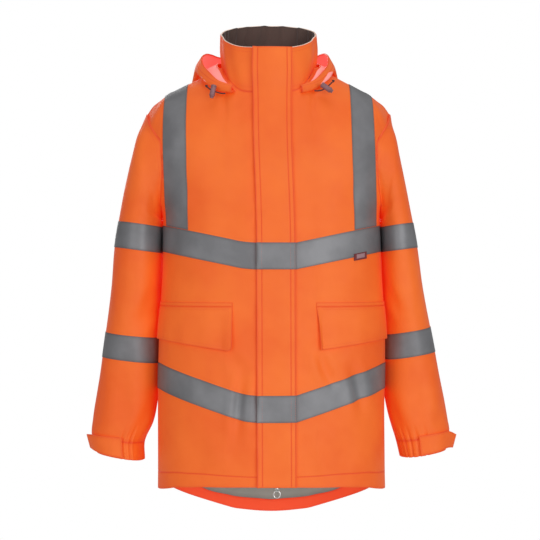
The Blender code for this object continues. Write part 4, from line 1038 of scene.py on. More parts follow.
# ---------------------------------------------------------------- chest tab
# A small woven tab sewn on at the edge of the chest tape, on the wearer's left: dark red, with one plain
# paler block and no lettering.
TAB_WALL = 0.0006
TAB_LIFT = LAYER_GAP + TAPE_WALL + LAYER_GAP
TAB_ROWS, TAB_ACROSS = (5.92, 6.12), (5.92, 6.98)
BLOCK_ROWS, BLOCK_ACROSS = (5.955, 6.085), (6.10, 6.80)
BLOCK_WALL = 0.0002

# Damask woven label cloth, close and matt
damask_tab = woven("damask_tab_dark_red", "#6E2A2C", "#7C3436", "#541C1E", 0.0006, 0.8, 0.1)
damask_block = woven("damask_tab_mauve", "#9A7478", "#A8858A", "#86646A", 0.0006, 0.8, 0.1)
cut_cloth("chest_tab_cloth", fronts["left"], fronts["left"].places("up", *TAB_ROWS, 0.002),
          fronts["left"].places("across", *TAB_ACROSS, 0.003), TAB_LIFT, TAB_WALL, 1, damask_tab,
          ["chest_tab"])
cut_cloth("chest_tab_block", fronts["left"], fronts["left"].places("up", *BLOCK_ROWS, 0.002),
          fronts["left"].places("across", *BLOCK_ACROSS, 0.003), TAB_LIFT + TAB_WALL, BLOCK_WALL, 1,
          damask_block, [])

# ---------------------------------------------------------------- collar
# A stand collar of shell cloth, lined with brown-grey fleece-backed cloth that falls in soft upright folds,
# and edged along its top with a thin piping, its pale colour a painted highlight along that edge. Its base is
# sewn into the neckline.

# The top edge by station, from the zip round to the centre back. Its base lies on the panel's neckline at the
# column given; the first two stations take their top x from the zip and the flap edge.
#            side column  top x    top y    top z
COLLAR_TOP = ((-1, 0.0, None, -0.0915, 0.0260), (-1, 1.0, None, -0.0855, 0.0265),
              (-1, 2.0, 0.0620, -0.0690, 0.0320), (-1, 3.0, 0.0810, -0.0440, 0.0430),
              (-1, 3.5, 0.0915, -0.0170, 0.0560), (-1, 4.0, 0.0955, 0.0100, 0.0670),
              (1, 3.5, 0.0920, 0.0330, 0.0755), (1, 3.0, 0.0790, 0.0540, 0.0840),
              (1, 2.0, 0.0480, 0.0720, 0.0915), (1, 0.0, 0.0000, 0.0780, 0.0950))
COLLAR_LIFT = 0.0012
COLLAR_BULGE = 0.0020
SHOULDER_COLUMN = 4.0
PIPING_RISE = 0.0003
PIPING_SINK = 0.0021
COLLAR_SEAM_SINK = 0.0009
COLLAR_SEAM_DROP = 0.0006
COLLAR_STITCH_LOW, COLLAR_STITCH_HIGH = 0.22, 1.80
PIPING_RADIUS = 0.0013
COLLAR_FOLDS = ((0.9, 0.0024), (2.6, 0.0030), (3.9, 0.0022), (5.4, 0.0050), (6.3, 0.0034), (7.1, 0.0058),
                (7.8, 0.0036), (8.6, 0.0052), (9.4, 0.0032), (10.3, 0.0058), (11.2, 0.0036), (12.7, 0.0044),
                (14.2, 0.0030), (15.5, 0.0022), (16.9, 0.0026))
COLLAR_FOLD_WIDTH = 0.13


def spot(pattern, row, column, lift=0.0):
    """One point of a pattern before any crease, moved out by a lift."""
    points, normals, _, _ = pattern.bare(np.array([float(row)]), np.array([float(column)]))
    return Vector((points[0] + normals[0] * lift).tolist())


def collar_half(hand_name, hand):
    """Base, middle and top points at each station, from the zip edge round to the centre back."""
    found = []
    for side, column, x, y, z in COLLAR_TOP:
        if side < 0:
            base = spot(fronts[hand_name], FRONT_TOP, column)
        else:
            base = spot(back, BACK_TOP, BACK_CENTRE + hand * column)
        if column == SHOULDER_COLUMN:
            base.y = 0.0
        base.z += COLLAR_LIFT
        top_x = zip_columns(ZIP_X[1][0], hand)[int(column)] if x is None else hand * x
        top = lean(Vector((top_x, y, z)))
        middle = (base + top) / 2
        out = Vector((middle.x, middle.y, 0.0))
        found.append([base, middle + out.normalized() * COLLAR_BULGE, top])
    return found


def collar_relief(spots, across, up):
    return 0.0007 * np.sin(across * 61.0 + up * 20.0) + 0.0005 * np.sin(across * 133.0 - up * 40.0 + 1.0)


def lining_folds(rows, columns, lifts):
    """Upright folds that sink away from the shell, by their place round the neck."""
    for place, depth in COLLAR_FOLDS:
        lifts = lifts - depth * np.exp(-((columns - place - 0.12 * rows) / COLLAR_FOLD_WIDTH) ** 2)
    return rows, columns, lifts


collar_stations = collar_half("right", -1) + collar_half("left", 1)[-2::-1]
COLLAR_LAST = len(collar_stations) - 1
collar = Pattern([[station[level] for station in collar_stations] for level in range(3)], (0, 0, 0.02),
                 relief=collar_relief)
# Fleece-backed collar lining: matt, warm brown-grey
collar_fleece = woven("collar_fleece", "#46352F", "#5B4740", "#30231E", 0.0016, 0.95, 0.35,
                      weave_depth=0.0003)
# Piping: a tape folded over the edge, its pale colour a painted highlight along the collar's top edge
piping_highlight = sewing_thread("piping_painted_highlight", "#E9CDBB")
around = collar.places("across", 0.0, float(COLLAR_LAST), 0.004)
cut_cloth("collar_cloth", collar, collar.places("up", 0.0, 2.0, 0.004), around, 0.0, SHELL_WALL, -1,
          proofed_polyester, ["collar_outer"],
          seams=[("up", COLLAR_STITCH_LOW)])
cut_cloth("collar_lining_cloth", collar, collar.places("up", 0.02, 2.0, 0.004),
          collar.places("across", 0.0, float(COLLAR_LAST), 0.003), UNDER_LIFT, LINING_WALL, -1, collar_fleece,
          ["collar_lining"], shape=lining_folds)
edge_points, _, _, _ = collar.lay(2.0, around, -PIPING_SINK)
edge_points[:, 2] += PIPING_RISE
piping = tube("collar_piping", edge_points.tolist(), PIPING_RADIUS, piping_highlight)
base_points, _, _, _ = collar.lay(0.0, around, -COLLAR_SEAM_SINK)
base_points[:, 2] -= COLLAR_SEAM_DROP
rolled_seam("collar_seam", base_points)
sew("collar_stitching", [stitch_line(collar, COLLAR_STITCH_LOW, around, -STITCH_SINK),
                         stitch_line(collar, COLLAR_STITCH_HIGH, around, 0.0)], orange_thread)

# ---------------------------------------------------------------- zip
# A moulded-tooth zip from hem to collar top, under the storm flap: a woven tape sewn along each front edge,
# and interlocked acetal teeth moulded onto the tapes between.
ZIP_LIFT = -0.0002
ZIP_TAPE_WALL = 0.0006
ZIP_INSET = 0.07
TOOTH_PITCH = 0.0026
TOOTH_SIZE = (0.0030, 0.0014, 0.0011)
TOOTH_STAGGER = 0.0006
TEETH_FROM_Z = -0.800


def centre_line(row, lift):
    """The four columns at the centre front on one row of the fronts: flap edge, zip edges, flap edge."""
    columns = (("right", 1), ("right", 0), ("left", 0), ("left", 1))
    return [spot(fronts[hand_name], row, column, lift) for hand_name, column in columns]


def collar_centre_line(level, lift):
    return [spot(collar, level, column, lift) for column in (1, 0, COLLAR_LAST, COLLAR_LAST - 1)]


zip_rows = [centre_line(row, ZIP_LIFT)[1:3] for row in range(FRONT_TOP + 1)]
zip_rows += [collar_centre_line(level, ZIP_LIFT)[1:3] for level in (1, 2)]
zip_grid = [[right.lerp(left, ZIP_INSET), right.lerp(left, 0.5), right.lerp(left, 1 - ZIP_INSET)]
            for right, left in zip_rows]
zip_pattern = Pattern(zip_grid, INSIDE, relief=torso_relief)
ZIP_TOP = float(len(zip_grid) - 1)
zip_tape = woven("woven_zip_tape", "#C24A20", "#CC5528", "#A83C18", 0.0009, 0.75, 0.1)
cut_cloth("zip_tapes", zip_pattern, zip_pattern.places("up", 0.0, ZIP_TOP, 0.006), np.linspace(0.0, 2.0, 7),
          0.0, ZIP_TAPE_WALL, -1, zip_tape, ["zip"])
# Moulded acetal teeth, dyed to match
tooth_finish = sewing_thread("dyed_acetal_teeth", "#B2431F")
rows = np.linspace(0.0, ZIP_TOP, 400)
chain, chain_out, _, _ = zip_pattern.lay(rows, 1.0, 0.0)
reach = np.concatenate([[0.0], np.cumsum(np.linalg.norm(np.diff(chain, axis=0), axis=1))])
tooth_points, tooth_faces = [], []
for number in range(int(reach[-1] / TOOTH_PITCH)):
    place = (number + 0.5) * TOOTH_PITCH
    middle = np.array([np.interp(place, reach, chain[:, k]) for k in range(3)])
    ahead = np.array([np.interp(place + 0.001, reach, chain[:, k]) for k in range(3)]) - middle
    if middle[2] < TEETH_FROM_Z or not ahead.any():
        continue
    ahead /= np.linalg.norm(ahead)
    out = np.array([np.interp(place, reach, chain_out[:, k]) for k in range(3)])
    side = np.cross(ahead, out)
    middle = middle + side * (TOOTH_STAGGER if number % 2 else -TOOTH_STAGGER)
    base = len(tooth_points)
    for c in (-1, 1):
        for a, b in ((-1, -1), (1, -1), (1, 1), (-1, 1)):
            tooth_points.append(tuple(middle + side * a * TOOTH_SIZE[0] / 2 + ahead * b * TOOTH_SIZE[1] / 2
                                      + out * (c - 0.2) * TOOTH_SIZE[2] / 2))
    for face in ((3, 2, 1, 0), (4, 5, 6, 7), (0, 1, 5, 4), (1, 2, 6, 5), (2, 3, 7, 6), (3, 0, 4, 7)):
        tooth_faces.append([base + corner for corner in face])
add_mesh("zip_teeth", tooth_points, tooth_faces, tooth_finish)

# ---------------------------------------------------------------- storm flap
# Two layers of shell cloth over the zip from hem to collar top. It is sewn down along the wearer's left with
# two rows of stitching; its free edge on the wearer's right stands a little proud and is stitched 10 mm in.
FLAP_REST = 0.0007
FLAP_LIFT = LAYER_GAP + TAPE_WALL + FLAP_REST
NECK_PUSH = Vector((0.0, -0.0015, 0.0))
FREE_EDGE_RISE = 0.0036
FREE_EDGE_REACH = 0.006
CORNER_CURL = 0.0045
CURL_UP, CURL_IN = 0.022, 0.014
FLAP_THREAD_BED = 0.0002
FREE_STITCH = 0.0100
SEWN_STITCHES = (0.0025, 0.0105)

flap_rows = [centre_line(row, FLAP_LIFT) for row in range(FRONT_TOP)]
neck_row = zip(centre_line(FRONT_TOP, FLAP_LIFT), collar_centre_line(0, FLAP_LIFT))
flap_rows.append([(low + high) / 2 + NECK_PUSH for low, high in neck_row])
flap_rows += [collar_centre_line(1, FLAP_LIFT), collar_centre_line(2, FLAP_LIFT)]
storm_flap = Pattern(flap_rows, INSIDE, relief=torso_relief)
FLAP_TOP_LINE = float(len(flap_rows) - 1)


def flap_edge(rows, columns, lifts):
    """Lifts the free edge in a slow, uneven wave, and curls its corner at the collar."""
    up, across = storm_flap.metres(rows, columns)
    near = np.exp(-across / FREE_EDGE_REACH)
    wave = 1 + 0.35 * np.sin(up * 46.0) + 0.25 * np.sin(up * 117.0 + 1.0)
    curl = np.exp(-((up - storm_flap.up_knots[-2]) / CURL_UP) ** 2) * np.exp(-across / CURL_IN)
    return rows, columns, lifts + FREE_EDGE_RISE * near * wave + CORNER_CURL * curl


flap_width = float(storm_flap.across_knots[-1])
flap_seams = [float(np.interp(distance, storm_flap.across_knots, np.arange(4)))
              for distance in (FREE_STITCH, *(flap_width - inset for inset in SEWN_STITCHES))]
# The seam mark at the free edge (column 0) paints a shadow line along that edge; the others are stitch
# grooves with painted shade
cut_cloth("storm_flap_cloth", storm_flap, storm_flap.places("up", 0.0, FLAP_TOP_LINE, 0.004),
          storm_flap.places("across", 0.0, 3.0, 0.004, flap_seams), 0.0, FLAP_WALL, 1, proofed_polyester,
          ["storm_flap"], shape=flap_edge,
          seams=[("across", seam) for seam in (0.0, *flap_seams)])
tape_lines = []
for node, row in (("chest_tape_flap", CHEST_ROW), ("lower_tape_flap", LOWER_ROW)):
    lay_tape(node, storm_flap, (row, row + 1), (0.0, 3.0), lift=FLAP_WALL + LAYER_GAP, shape=flap_edge)
sew("tape_stitching_flap", tape_lines, tape_thread)


def flap_stitches(column, lift):
    """One row of stitches from hem to collar, over the tapes."""
    rows, columns = np.broadcast_arrays(np.linspace(0.02, FLAP_TOP_LINE - 0.02, 300), column)
    rows, columns, lifts = flap_edge(rows, columns, np.full(rows.shape, lift))
    taped = ((rows > LOWER_ROW) & (rows < LOWER_ROW + 1)) | ((rows > CHEST_ROW) & (rows < CHEST_ROW + 1))
    return stitch_line(storm_flap, rows, columns, lifts + np.where(taped, LAYER_GAP + TAPE_WALL, 0.0))


sew("storm_flap_stitching", [flap_stitches(seam, FLAP_WALL - FLAP_THREAD_BED) for seam in flap_seams],
    orange_thread)

# ---------------------------------------------------------------- sleeves and cuffs
# One-piece sleeves set into the armholes, with two rings of tape each. The cuffs are gathered on elastic and
# drawn in by a stiff hook-and-loop tab on the front.
SLEEVE_CLEARANCE = 0.0042
# Sleeves: the outer and the inner line in X and Z, the centre and half depth in Y
#                 out x   out z    in x    in z     mid y  half depth
SLEEVE_RIGHT = ((0.2620, -0.1280, 0.2160, -0.3015, 0.000, 0.0790),
                (0.2750, -0.1750, 0.2160, -0.3045, 0.002, 0.0830),
                (0.2880, -0.2350, 0.2160, -0.3095, 0.004, 0.0850),
                (0.3000, -0.3045, 0.2160, -0.3160, 0.006, 0.0850),
                (0.3085, -0.3550, 0.2165, -0.3670, 0.008, 0.0840),
                (0.3190, -0.4500, 0.2190, -0.4630, 0.012, 0.0800),
                (0.3280, -0.5215, 0.2215, -0.5330, 0.014, 0.0770),
                (0.3345, -0.5700, 0.2235, -0.5830, 0.014, 0.0740),
                (0.3450, -0.6450, 0.2265, -0.6550, 0.012, 0.0680),
                (0.3520, -0.6930, 0.2350, -0.7030, 0.008, 0.0610),
                (0.3550, -0.7240, 0.2520, -0.7380, 0.004, 0.0550),
                (0.3460, -0.7570, 0.2530, -0.7740, 0.000, 0.0500))
SLEEVE_LEFT = ((0.2420, -0.1280, 0.2160, -0.3015, 0.000, 0.0790),
               (0.2510, -0.1710, 0.2160, -0.3045, 0.002, 0.0830),
               (0.2630, -0.2300, 0.2160, -0.3095, 0.004, 0.0850),
               (0.2775, -0.3075, 0.2160, -0.3160, 0.006, 0.0850),
               (0.2864, -0.3560, 0.2165, -0.3650, 0.008, 0.0840),
               (0.3036, -0.4550, 0.2190, -0.4650, 0.012, 0.0800),
               (0.3141, -0.5114, 0.2215, -0.5270, 0.014, 0.0770),
               (0.3230, -0.5600, 0.2235, -0.5760, 0.014, 0.0740),
               (0.3390, -0.6450, 0.2265, -0.6570, 0.012, 0.0680),
               (0.3470, -0.6930, 0.2365, -0.7050, 0.008, 0.0610),
               (0.3510, -0.7165, 0.2470, -0.7350, 0.004, 0.0550),
               (0.3450, -0.7520, 0.2560, -0.7680, 0.000, 0.0500))
RING_POWER = 2.3
RING_SHARES = (1.0, 0.9, 0.78, 0.69, 0.60, 0.51, 0.42, 0.33, 0.25, 0.12, 0.0)
SLEEVE_SEAM = Vector((0.0020, 0.0, 0.0))
ARMPIT_LIFT = 0.0030
UPPER_TAPE_ROWS = (4, 5)
LOWER_TAPE_ROWS = (7, 8)
CUFF_ROW = 11
CUFF_SEAM_SHARE = 0.05
SLEEVE_STEP = 0.0055
SLEEVE_ROUND_STEP = 0.0030
#                 row   col    row   col    width   depth
SLEEVE_CREASES = {
    "right": ((0.9, 7.6, 3.3, 6.0, 0.019, 0.0034), (1.8, 3.2, 4.8, 4.3, 0.024, 0.0022),
              (5.6, 8.2, 7.0, 4.9, 0.016, 0.0036), (6.0, 8.8, 6.7, 6.2, 0.012, 0.0022),
              (5.3, 3.0, 6.5, 4.2, 0.018, 0.0018), (8.3, 3.8, 10.7, 5.6, 0.018, 0.0028),
              (9.1, 7.6, 10.9, 6.5, 0.013, 0.0024), (8.4, 2.2, 9.9, 3.0, 0.016, 0.0016),
              (1.2, 12.4, 3.5, 14.4, 0.022, 0.0034), (5.4, 12.0, 7.0, 15.2, 0.017, 0.0036),
              (5.9, 11.5, 6.8, 13.4, 0.013, 0.0020), (8.3, 15.3, 10.6, 13.8, 0.018, 0.0028),
              (2.4, 17.8, 5.1, 16.6, 0.020, 0.0020)),
    "left": ((0.8, 7.2, 3.0, 5.7, 0.018, 0.0030), (2.2, 3.7, 5.1, 4.6, 0.022, 0.0020),
             (5.4, 8.4, 6.8, 5.3, 0.015, 0.0036), (6.1, 8.6, 6.9, 6.6, 0.012, 0.0026),
             (5.8, 3.2, 7.0, 3.9, 0.017, 0.0016), (8.5, 4.4, 10.8, 5.2, 0.017, 0.0026),
             (8.9, 7.9, 10.8, 7.0, 0.013, 0.0022), (9.4, 2.4, 10.8, 3.4, 0.014, 0.0020),
             (1.5, 12.8, 3.9, 14.0, 0.021, 0.0030), (5.2, 12.4, 6.8, 14.8, 0.018, 0.0034),
             (8.5, 14.9, 10.4, 13.3, 0.017, 0.0030), (2.9, 17.2, 5.4, 16.2, 0.021, 0.0022)),
}
#                    column, depth      round the cuff
CUFF_PLEATS = {
    "right": ((5.7, 0.0030), (6.7, 0.0026), (9.6, 0.0012), (10.5, 0.0024), (11.5, 0.0030), (12.6, 0.0026),
              (13.7, 0.0032), (14.9, 0.0028), (16.1, 0.0024), (17.3, 0.0016)),
    "left": ((4.9, 0.0026), (5.8, 0.0030), (6.7, 0.0026), (7.6, 0.0030), (8.5, 0.0024), (9.5, 0.0020),
             (10.6, 0.0026), (11.7, 0.0030), (12.8, 0.0026), (14.0, 0.0030), (15.2, 0.0024), (16.4, 0.0020)),
}
PLEAT_WIDTH = 0.0024
PLEAT_DEPTH = 1.5
CUFF_SEAM_SINK = 0.0009
ARMHOLE_SINK = 0.0010
ARMHOLE_ROLL = 0.0016
SLEEVE_STITCH_ROWS = (0.22, 10.86, 11.82)
PLEAT_RIDGE = 0.4
PLEAT_RIDGE_AT = 2.0
PLEATS_FROM_ROW = 9.9
# The sleeve lies closer to the body along its inner side
INNER_COLUMN = 10
SLEEVE_FULLNESS = 0.0026
SLEEVE_FULLNESS_REACH = 0.030
TAB_COLUMNS = ((5.6, 10.78, 11.94, 0.0026), (4.4, 10.80, 11.93, 0.0030), (3.2, 10.84, 11.88, 0.0034),
               (2.0, 10.88, 11.82, 0.0042))
TAB_END = ((0.3625, -0.016, -0.7225), (0.3560, -0.012, -0.7490))


def signed_power(value, power):
    return math.copysign(abs(value) ** power, value)


def off_the_torso(point):
    """Push a sleeve point out sideways until it is clear of the torso's section."""
    if point.z > -0.285:
        return point
    z = min(point.z, -0.300)
    depth = look(FRONT_DEPTH if point.y < 0 else BACK_DEPTH, z)
    spread = min(abs(point.y) / depth, 1.0)
    edge = look(HALF_WIDTH, z) * (1 - spread ** SECTION_POWER) ** (1 / SECTION_POWER) + SLEEVE_CLEARANCE
    if abs(point.x) < edge:
        return Vector((math.copysign(edge, point.x), point.y, point.z))
    return point


def armhole_ring(hand):
    ring = []
    count = len(RING_SHARES) - 1
    for index in range(2 * count):
        side = -1 if index <= count else 1
        share = RING_SHARES[index if index <= count else 2 * count - index]
        x = look([(row[0], row[1]) for row in ARMHOLE], share)
        z = look([(row[0], row[2]) for row in ARMHOLE], share)
        point = body_point(hand * x, z, side)
        if index in (0, count):
            point.y = 0.0
        point = lean(point) + hand * SLEEVE_SEAM
        point.z += ARMPIT_LIFT * (1 - share) ** 4
        ring.append(point)
    return ring


def sleeve_rings(hand, table):
    rings = [armhole_ring(hand)]
    count = len(rings[0])
    for out_x, out_z, in_x, in_z, middle_y, half_depth in table:
        outer, inner = Vector((hand * out_x, 0, out_z)), Vector((hand * in_x, 0, in_z))
        centre, reach = (outer + inner) / 2, (outer - inner) / 2
        ring = []
        for index in range(count):
            angle = 2 * math.pi * index / count
            along = signed_power(math.cos(angle), 2 / RING_POWER)
            across = signed_power(math.sin(angle), 2 / RING_POWER)
            point = centre + reach * along + Vector((0, middle_y - half_depth * across, 0))
            ring.append(off_the_torso(point))
        rings.append(ring)
    return rings


def crease_lines(pattern, table):
    """Creases given by rows and columns of a pattern, in metres along its cloth."""
    lines = []
    for row_1, column_1, row_2, column_2, width, depth in table:
        up_1, across_1 = pattern.metres(row_1, column_1)
        up_2, across_2 = pattern.metres(row_2, column_2)
        lines.append(((across_1, up_1), (across_2, up_2), width, depth))
    return lines


def sleeve_relief(sleeve, hand_name):
    """Creases of one sleeve by their place on its pattern, and the cuff's pleats."""
    girth = sleeve.across_knots[sleeve.spare + sleeve.count] - sleeve.across_knots[sleeve.spare]
    lines = crease_lines(sleeve, SLEEVE_CREASES[hand_name])
    pleats = [(sleeve.metres(0, column)[1], depth) for column, depth in CUFF_PLEATS[hand_name]]
    start, full = sleeve.metres(PLEATS_FROM_ROW, 0)[0], sleeve.metres(CUFF_ROW, 0)[0]
    inner, armpit = sleeve.metres(0, INNER_COLUMN)[1], sleeve.metres(1, 0)[0]

    def relief(spots, across, up):
        rise = 0.0009 * np.sin(across * 2 * math.pi * 3 / girth + up * 21.0)
        rise = rise + 0.0006 * np.sin(across * 2 * math.pi * 5 / girth - up * 33.0 + 1.0)
        for first, last, width, depth in lines:
            rise = rise + crease(across, up, first, last, width, depth, 0.003)
        gathered = np.clip((up - start) / (full - start), 0, 1) ** 1.5
        for place, depth in pleats:
            off = (across - place) / PLEAT_WIDTH
            fold = PLEAT_RIDGE * np.exp(-(np.abs(off) - PLEAT_RIDGE_AT) ** 2) - np.exp(-off ** 2)
            rise = rise + PLEAT_DEPTH * depth * gathered * fold
        beside_body = np.exp(-((across - inner) / SLEEVE_FULLNESS_REACH) ** 2)
        free = np.clip((up - armpit) / 0.04, 0, 1) * np.clip((full - up) / 0.10, 0, 1)
        rise = rise + SLEEVE_FULLNESS * beside_body * free
        return rise * np.clip(up / 0.012, 0.15, 1)

    return relief


tape_lines = []
sleeve_lines = []
for hand_name, table in (("right", SLEEVE_RIGHT), ("left", SLEEVE_LEFT)):
    hand = HANDS[hand_name]
    rings = sleeve_rings(hand, table)
    corners = [point for ring in rings for point in ring]
    sleeve = Pattern(rings, sum(corners, Vector()) / len(corners), closed=True)
    sleeve.relief = sleeve_relief(sleeve, hand_name)
    across = sleeve.places("across", 0.0, float(sleeve.count), SLEEVE_ROUND_STEP)
    cut_cloth("sleeve_%s_cloth" % hand_name, sleeve, sleeve.places("up", 0.0, float(CUFF_ROW), SLEEVE_STEP),
              across[:-1], 0.0, SHELL_WALL, -1, proofed_polyester, ["sleeve_" + hand_name],
              wrap=True)
    cut_cloth("cuff_%s_cloth" % hand_name, sleeve,
              sleeve.places("up", CUFF_ROW + CUFF_SEAM_SHARE, CUFF_ROW + 1.0, 0.0025),
              across[:-1], 0.0, SHELL_WALL, -1, proofed_polyester, ["cuff_" + hand_name],
              wrap=True)
    seam, _, _, _ = sleeve.lay(CUFF_ROW + CUFF_SEAM_SHARE / 2, across[:-1], -CUFF_SEAM_SINK)
    rolled_seam("cuff_seam_" + hand_name, seam, closed=True)
    seam, _, _, _ = sleeve.lay(0.0, across[:-1], -ARMHOLE_SINK)
    seam[:, 0] -= hand * SLEEVE_SEAM[0] / 2
    rolled_seam("armhole_seam_" + hand_name, seam, ARMHOLE_ROLL, closed=True)
    for level, rows in (("upper", UPPER_TAPE_ROWS), ("lower", LOWER_TAPE_ROWS)):
        lay_tape("sleeve_tape_%s_%s" % (level, hand_name), sleeve, rows, (0.0, float(sleeve.count)),
                 wrap=True)
    for row in SLEEVE_STITCH_ROWS:
        sleeve_lines.append(stitch_line(sleeve, row, across, -THREAD_BED))

    # The tab: two layers of shell cloth on a stiff core, stitched round, standing off at its free end
    low = [spot(sleeve, bottom, column, lift) for column, _, bottom, lift in TAB_COLUMNS]
    high = [spot(sleeve, top, column, lift) for column, top, _, lift in TAB_COLUMNS]
    (high_x, high_y, high_z), (low_x, low_y, low_z) = TAB_END
    low.append(Vector((hand * low_x, low_y, low_z)))
    high.append(Vector((hand * high_x, high_y, high_z)))
    tab = Pattern([low, high], tuple(spot(sleeve, 11.4, 10.0)))
    cut_cloth("cuff_tab_%s_cloth" % hand_name, tab, tab.places("up", 0.0, 1.0, 0.003),
              tab.places("across", 0.0, 4.0, 0.003), 0.0, FLAP_WALL, 1, proofed_polyester,
              ["cuff_tab_" + hand_name])
    for rows, columns in ((0.08, np.linspace(0.1, 3.9, 40)), (0.92, np.linspace(0.1, 3.9, 40)),
                          (np.linspace(0.1, 0.9, 12), 0.12), (np.linspace(0.1, 0.9, 12), 3.88)):
        sleeve_lines.append(stitch_line(tab, rows, columns, FLAP_WALL - THREAD_BED))
sew("tape_stitching_sleeves", tape_lines, tape_thread)
sew("sleeve_stitching", sleeve_lines, orange_thread)

# ---------------------------------------------------------------- hood
# A deep hood of shell cloth lined in pink, lying folded down behind the collar as an open pouch. Its rim is a
# rolled casing that holds the draw cord; both front corners come round to the collar's lower corners.
# Hood, folded down behind: plan angle from the centre back, then radius and height of three edges
#        angle  fold r  fold z   outer r outer z  rim r   rim z
HOOD = ((0, 0.168, -0.235, 0.215, -0.110, 0.150, 0.035),
        (15, 0.172, -0.228, 0.216, -0.107, 0.150, 0.035),
        (30, 0.175, -0.188, 0.213, -0.095, 0.148, 0.036),
        (45, 0.176, -0.138, 0.205, -0.072, 0.142, 0.036),
        (60, 0.163, -0.085, 0.182, -0.044, 0.134, 0.037),
        (75, 0.134, -0.048, 0.155, -0.013, 0.130, 0.032),
        (90, 0.124, -0.036, 0.142, -0.004, 0.130, 0.020),
        (105, 0.129, -0.042, 0.143, -0.017, 0.131, 0.001),
        (119, 0.132, -0.049, 0.141, -0.035, 0.130, -0.017),
        (132, 0.129, -0.056, 0.135, -0.048, 0.127, -0.036),
        (146, 0.122, -0.062, 0.124, -0.055, 0.118, -0.048))
#               angle  radius of the neckline in plan
NECK_RADIUS = ((0, 0.063), (42, 0.0745), (65, 0.083), (90, 0.0935),
               (117, 0.0985), (135, 0.107), (150, 0.1095))
HOOD_FROM_NECK = 0.0070
#                angle  gap
HOOD_BODY_GAP = ((75, 0.0125), (105, 0.0045))
FOLD_ROUNDING = 0.16
HOOD_LINING_LIFT = 0.0022
HOOD_LINING_FROM = 0.5
HOOD_WIDTH_RIGHT = 1.02
HOOD_WIDTH_LEFT = 0.93
HOOD_PROFILE_STEPS = 8
RIM_ROLL = 0.0017
RIM_SINK = 0.0021
RIM_ENDS = 0.4
HOOD_NECK_ROLL = 0.0018
CASING_ROW = 7.45
#                row   col    row   col    width   depth
HOOD_CREASES = ((0.8, 8.2, 5.4, 7.4, 0.017, 0.0026), (1.2, 11.4, 5.8, 12.1, 0.018, 0.0028),
                (2.2, 9.8, 6.6, 10.2, 0.020, 0.0024), (0.9, 5.6, 5.2, 5.0, 0.014, 0.0018),
                (1.0, 14.2, 5.4, 15.0, 0.014, 0.0018), (5.2, 6.4, 7.4, 6.0, 0.014, 0.0018),
                (5.0, 13.4, 7.3, 13.9, 0.014, 0.0020), (3.0, 2.6, 6.8, 2.2, 0.010, 0.0010),
                (3.2, 17.4, 6.8, 17.8, 0.010, 0.0010))


def torso_top(x, y):
    """Height of the shoulders and chest under a plan point."""
    side = -1 if y < 0 else 1
    spread = min(abs(x) / HALF_WIDTH[-1][1], 1.0)
    reach = look(FRONT_DEPTH if side < 0 else BACK_DEPTH, 0.0)
    reach *= (1 - spread ** SECTION_POWER) ** (1 / SECTION_POWER)
    ratio = abs(y) / reach
    if ratio >= 1.0:
        return -1.0
    return DOME_Z + (look(SHOULDER, abs(x)) - DOME_Z) * math.sqrt(1 - ratio * ratio)


def hood_profile(row, hand):
    """From the neck, over the shoulders, round the fold and up to the rim."""
    angle = math.radians(row[0])
    width = HOOD_WIDTH_RIGHT if hand < 0 else HOOD_WIDTH_LEFT
    out = Vector((hand * width * math.sin(angle), math.cos(angle), 0.0))
    gap = look(HOOD_BODY_GAP, row[0])
    attach_radius = look(NECK_RADIUS, row[0]) + HOOD_FROM_NECK
    neck = Vector((hand * math.sin(angle), math.cos(angle), 0.0)) * attach_radius
    attach = above_body(neck - Vector((0, 0, 1)), gap)
    fold, outer, rim = (above_body(out * row[i] + Vector((0, 0, row[i + 1])), gap) for i in (1, 3, 5))
    round_half = out * (row[1] - attach_radius) * FOLD_ROUNDING
    round_rise = Vector((0.0, 0.0, round_half.length * 0.5))
    fold_in, fold_out = fold - round_half + round_rise, fold + round_half + round_rise
    fold_in = above_body(fold_in, gap)
    knots = [attach, above_body(attach.lerp(fold_in, 0.5), gap), fold_in, fold, fold_out, outer, rim]
    return [lean(above_body(point, gap)) for point in smooth_curve(knots, HOOD_PROFILE_STEPS + 1)]


def above_body(point, gap):
    return Vector((point.x, point.y, max(point.z, torso_top(point.x, point.y) + gap)))


hood_stations = [hood_profile(row, -1) for row in HOOD[::-1]] + [hood_profile(row, 1) for row in HOOD[1:]]
HOOD_LAST = len(hood_stations) - 1
hood = Pattern([[station[level] for station in hood_stations] for level in range(HOOD_PROFILE_STEPS + 1)],
               (0.0, 0.0, 0.05))
if hood.bare(np.array([[HOOD_PROFILE_STEPS - 1.0]]), np.array([[HOOD_LAST / 2]]))[1][0, 0, 1] < 0:
    hood.sign = -hood.sign
hood_lines = crease_lines(hood, HOOD_CREASES)


def hood_relief(spots, across, up):
    rise = 0.0008 * np.sin(across * 37.0 + up * 12.0)
    for first, last, width, depth in hood_lines:
        rise = rise + crease(across, up, first, last, width, depth, 0.002)
    return rise * np.clip(up / 0.02, 0, 1)


hood.relief = hood_relief
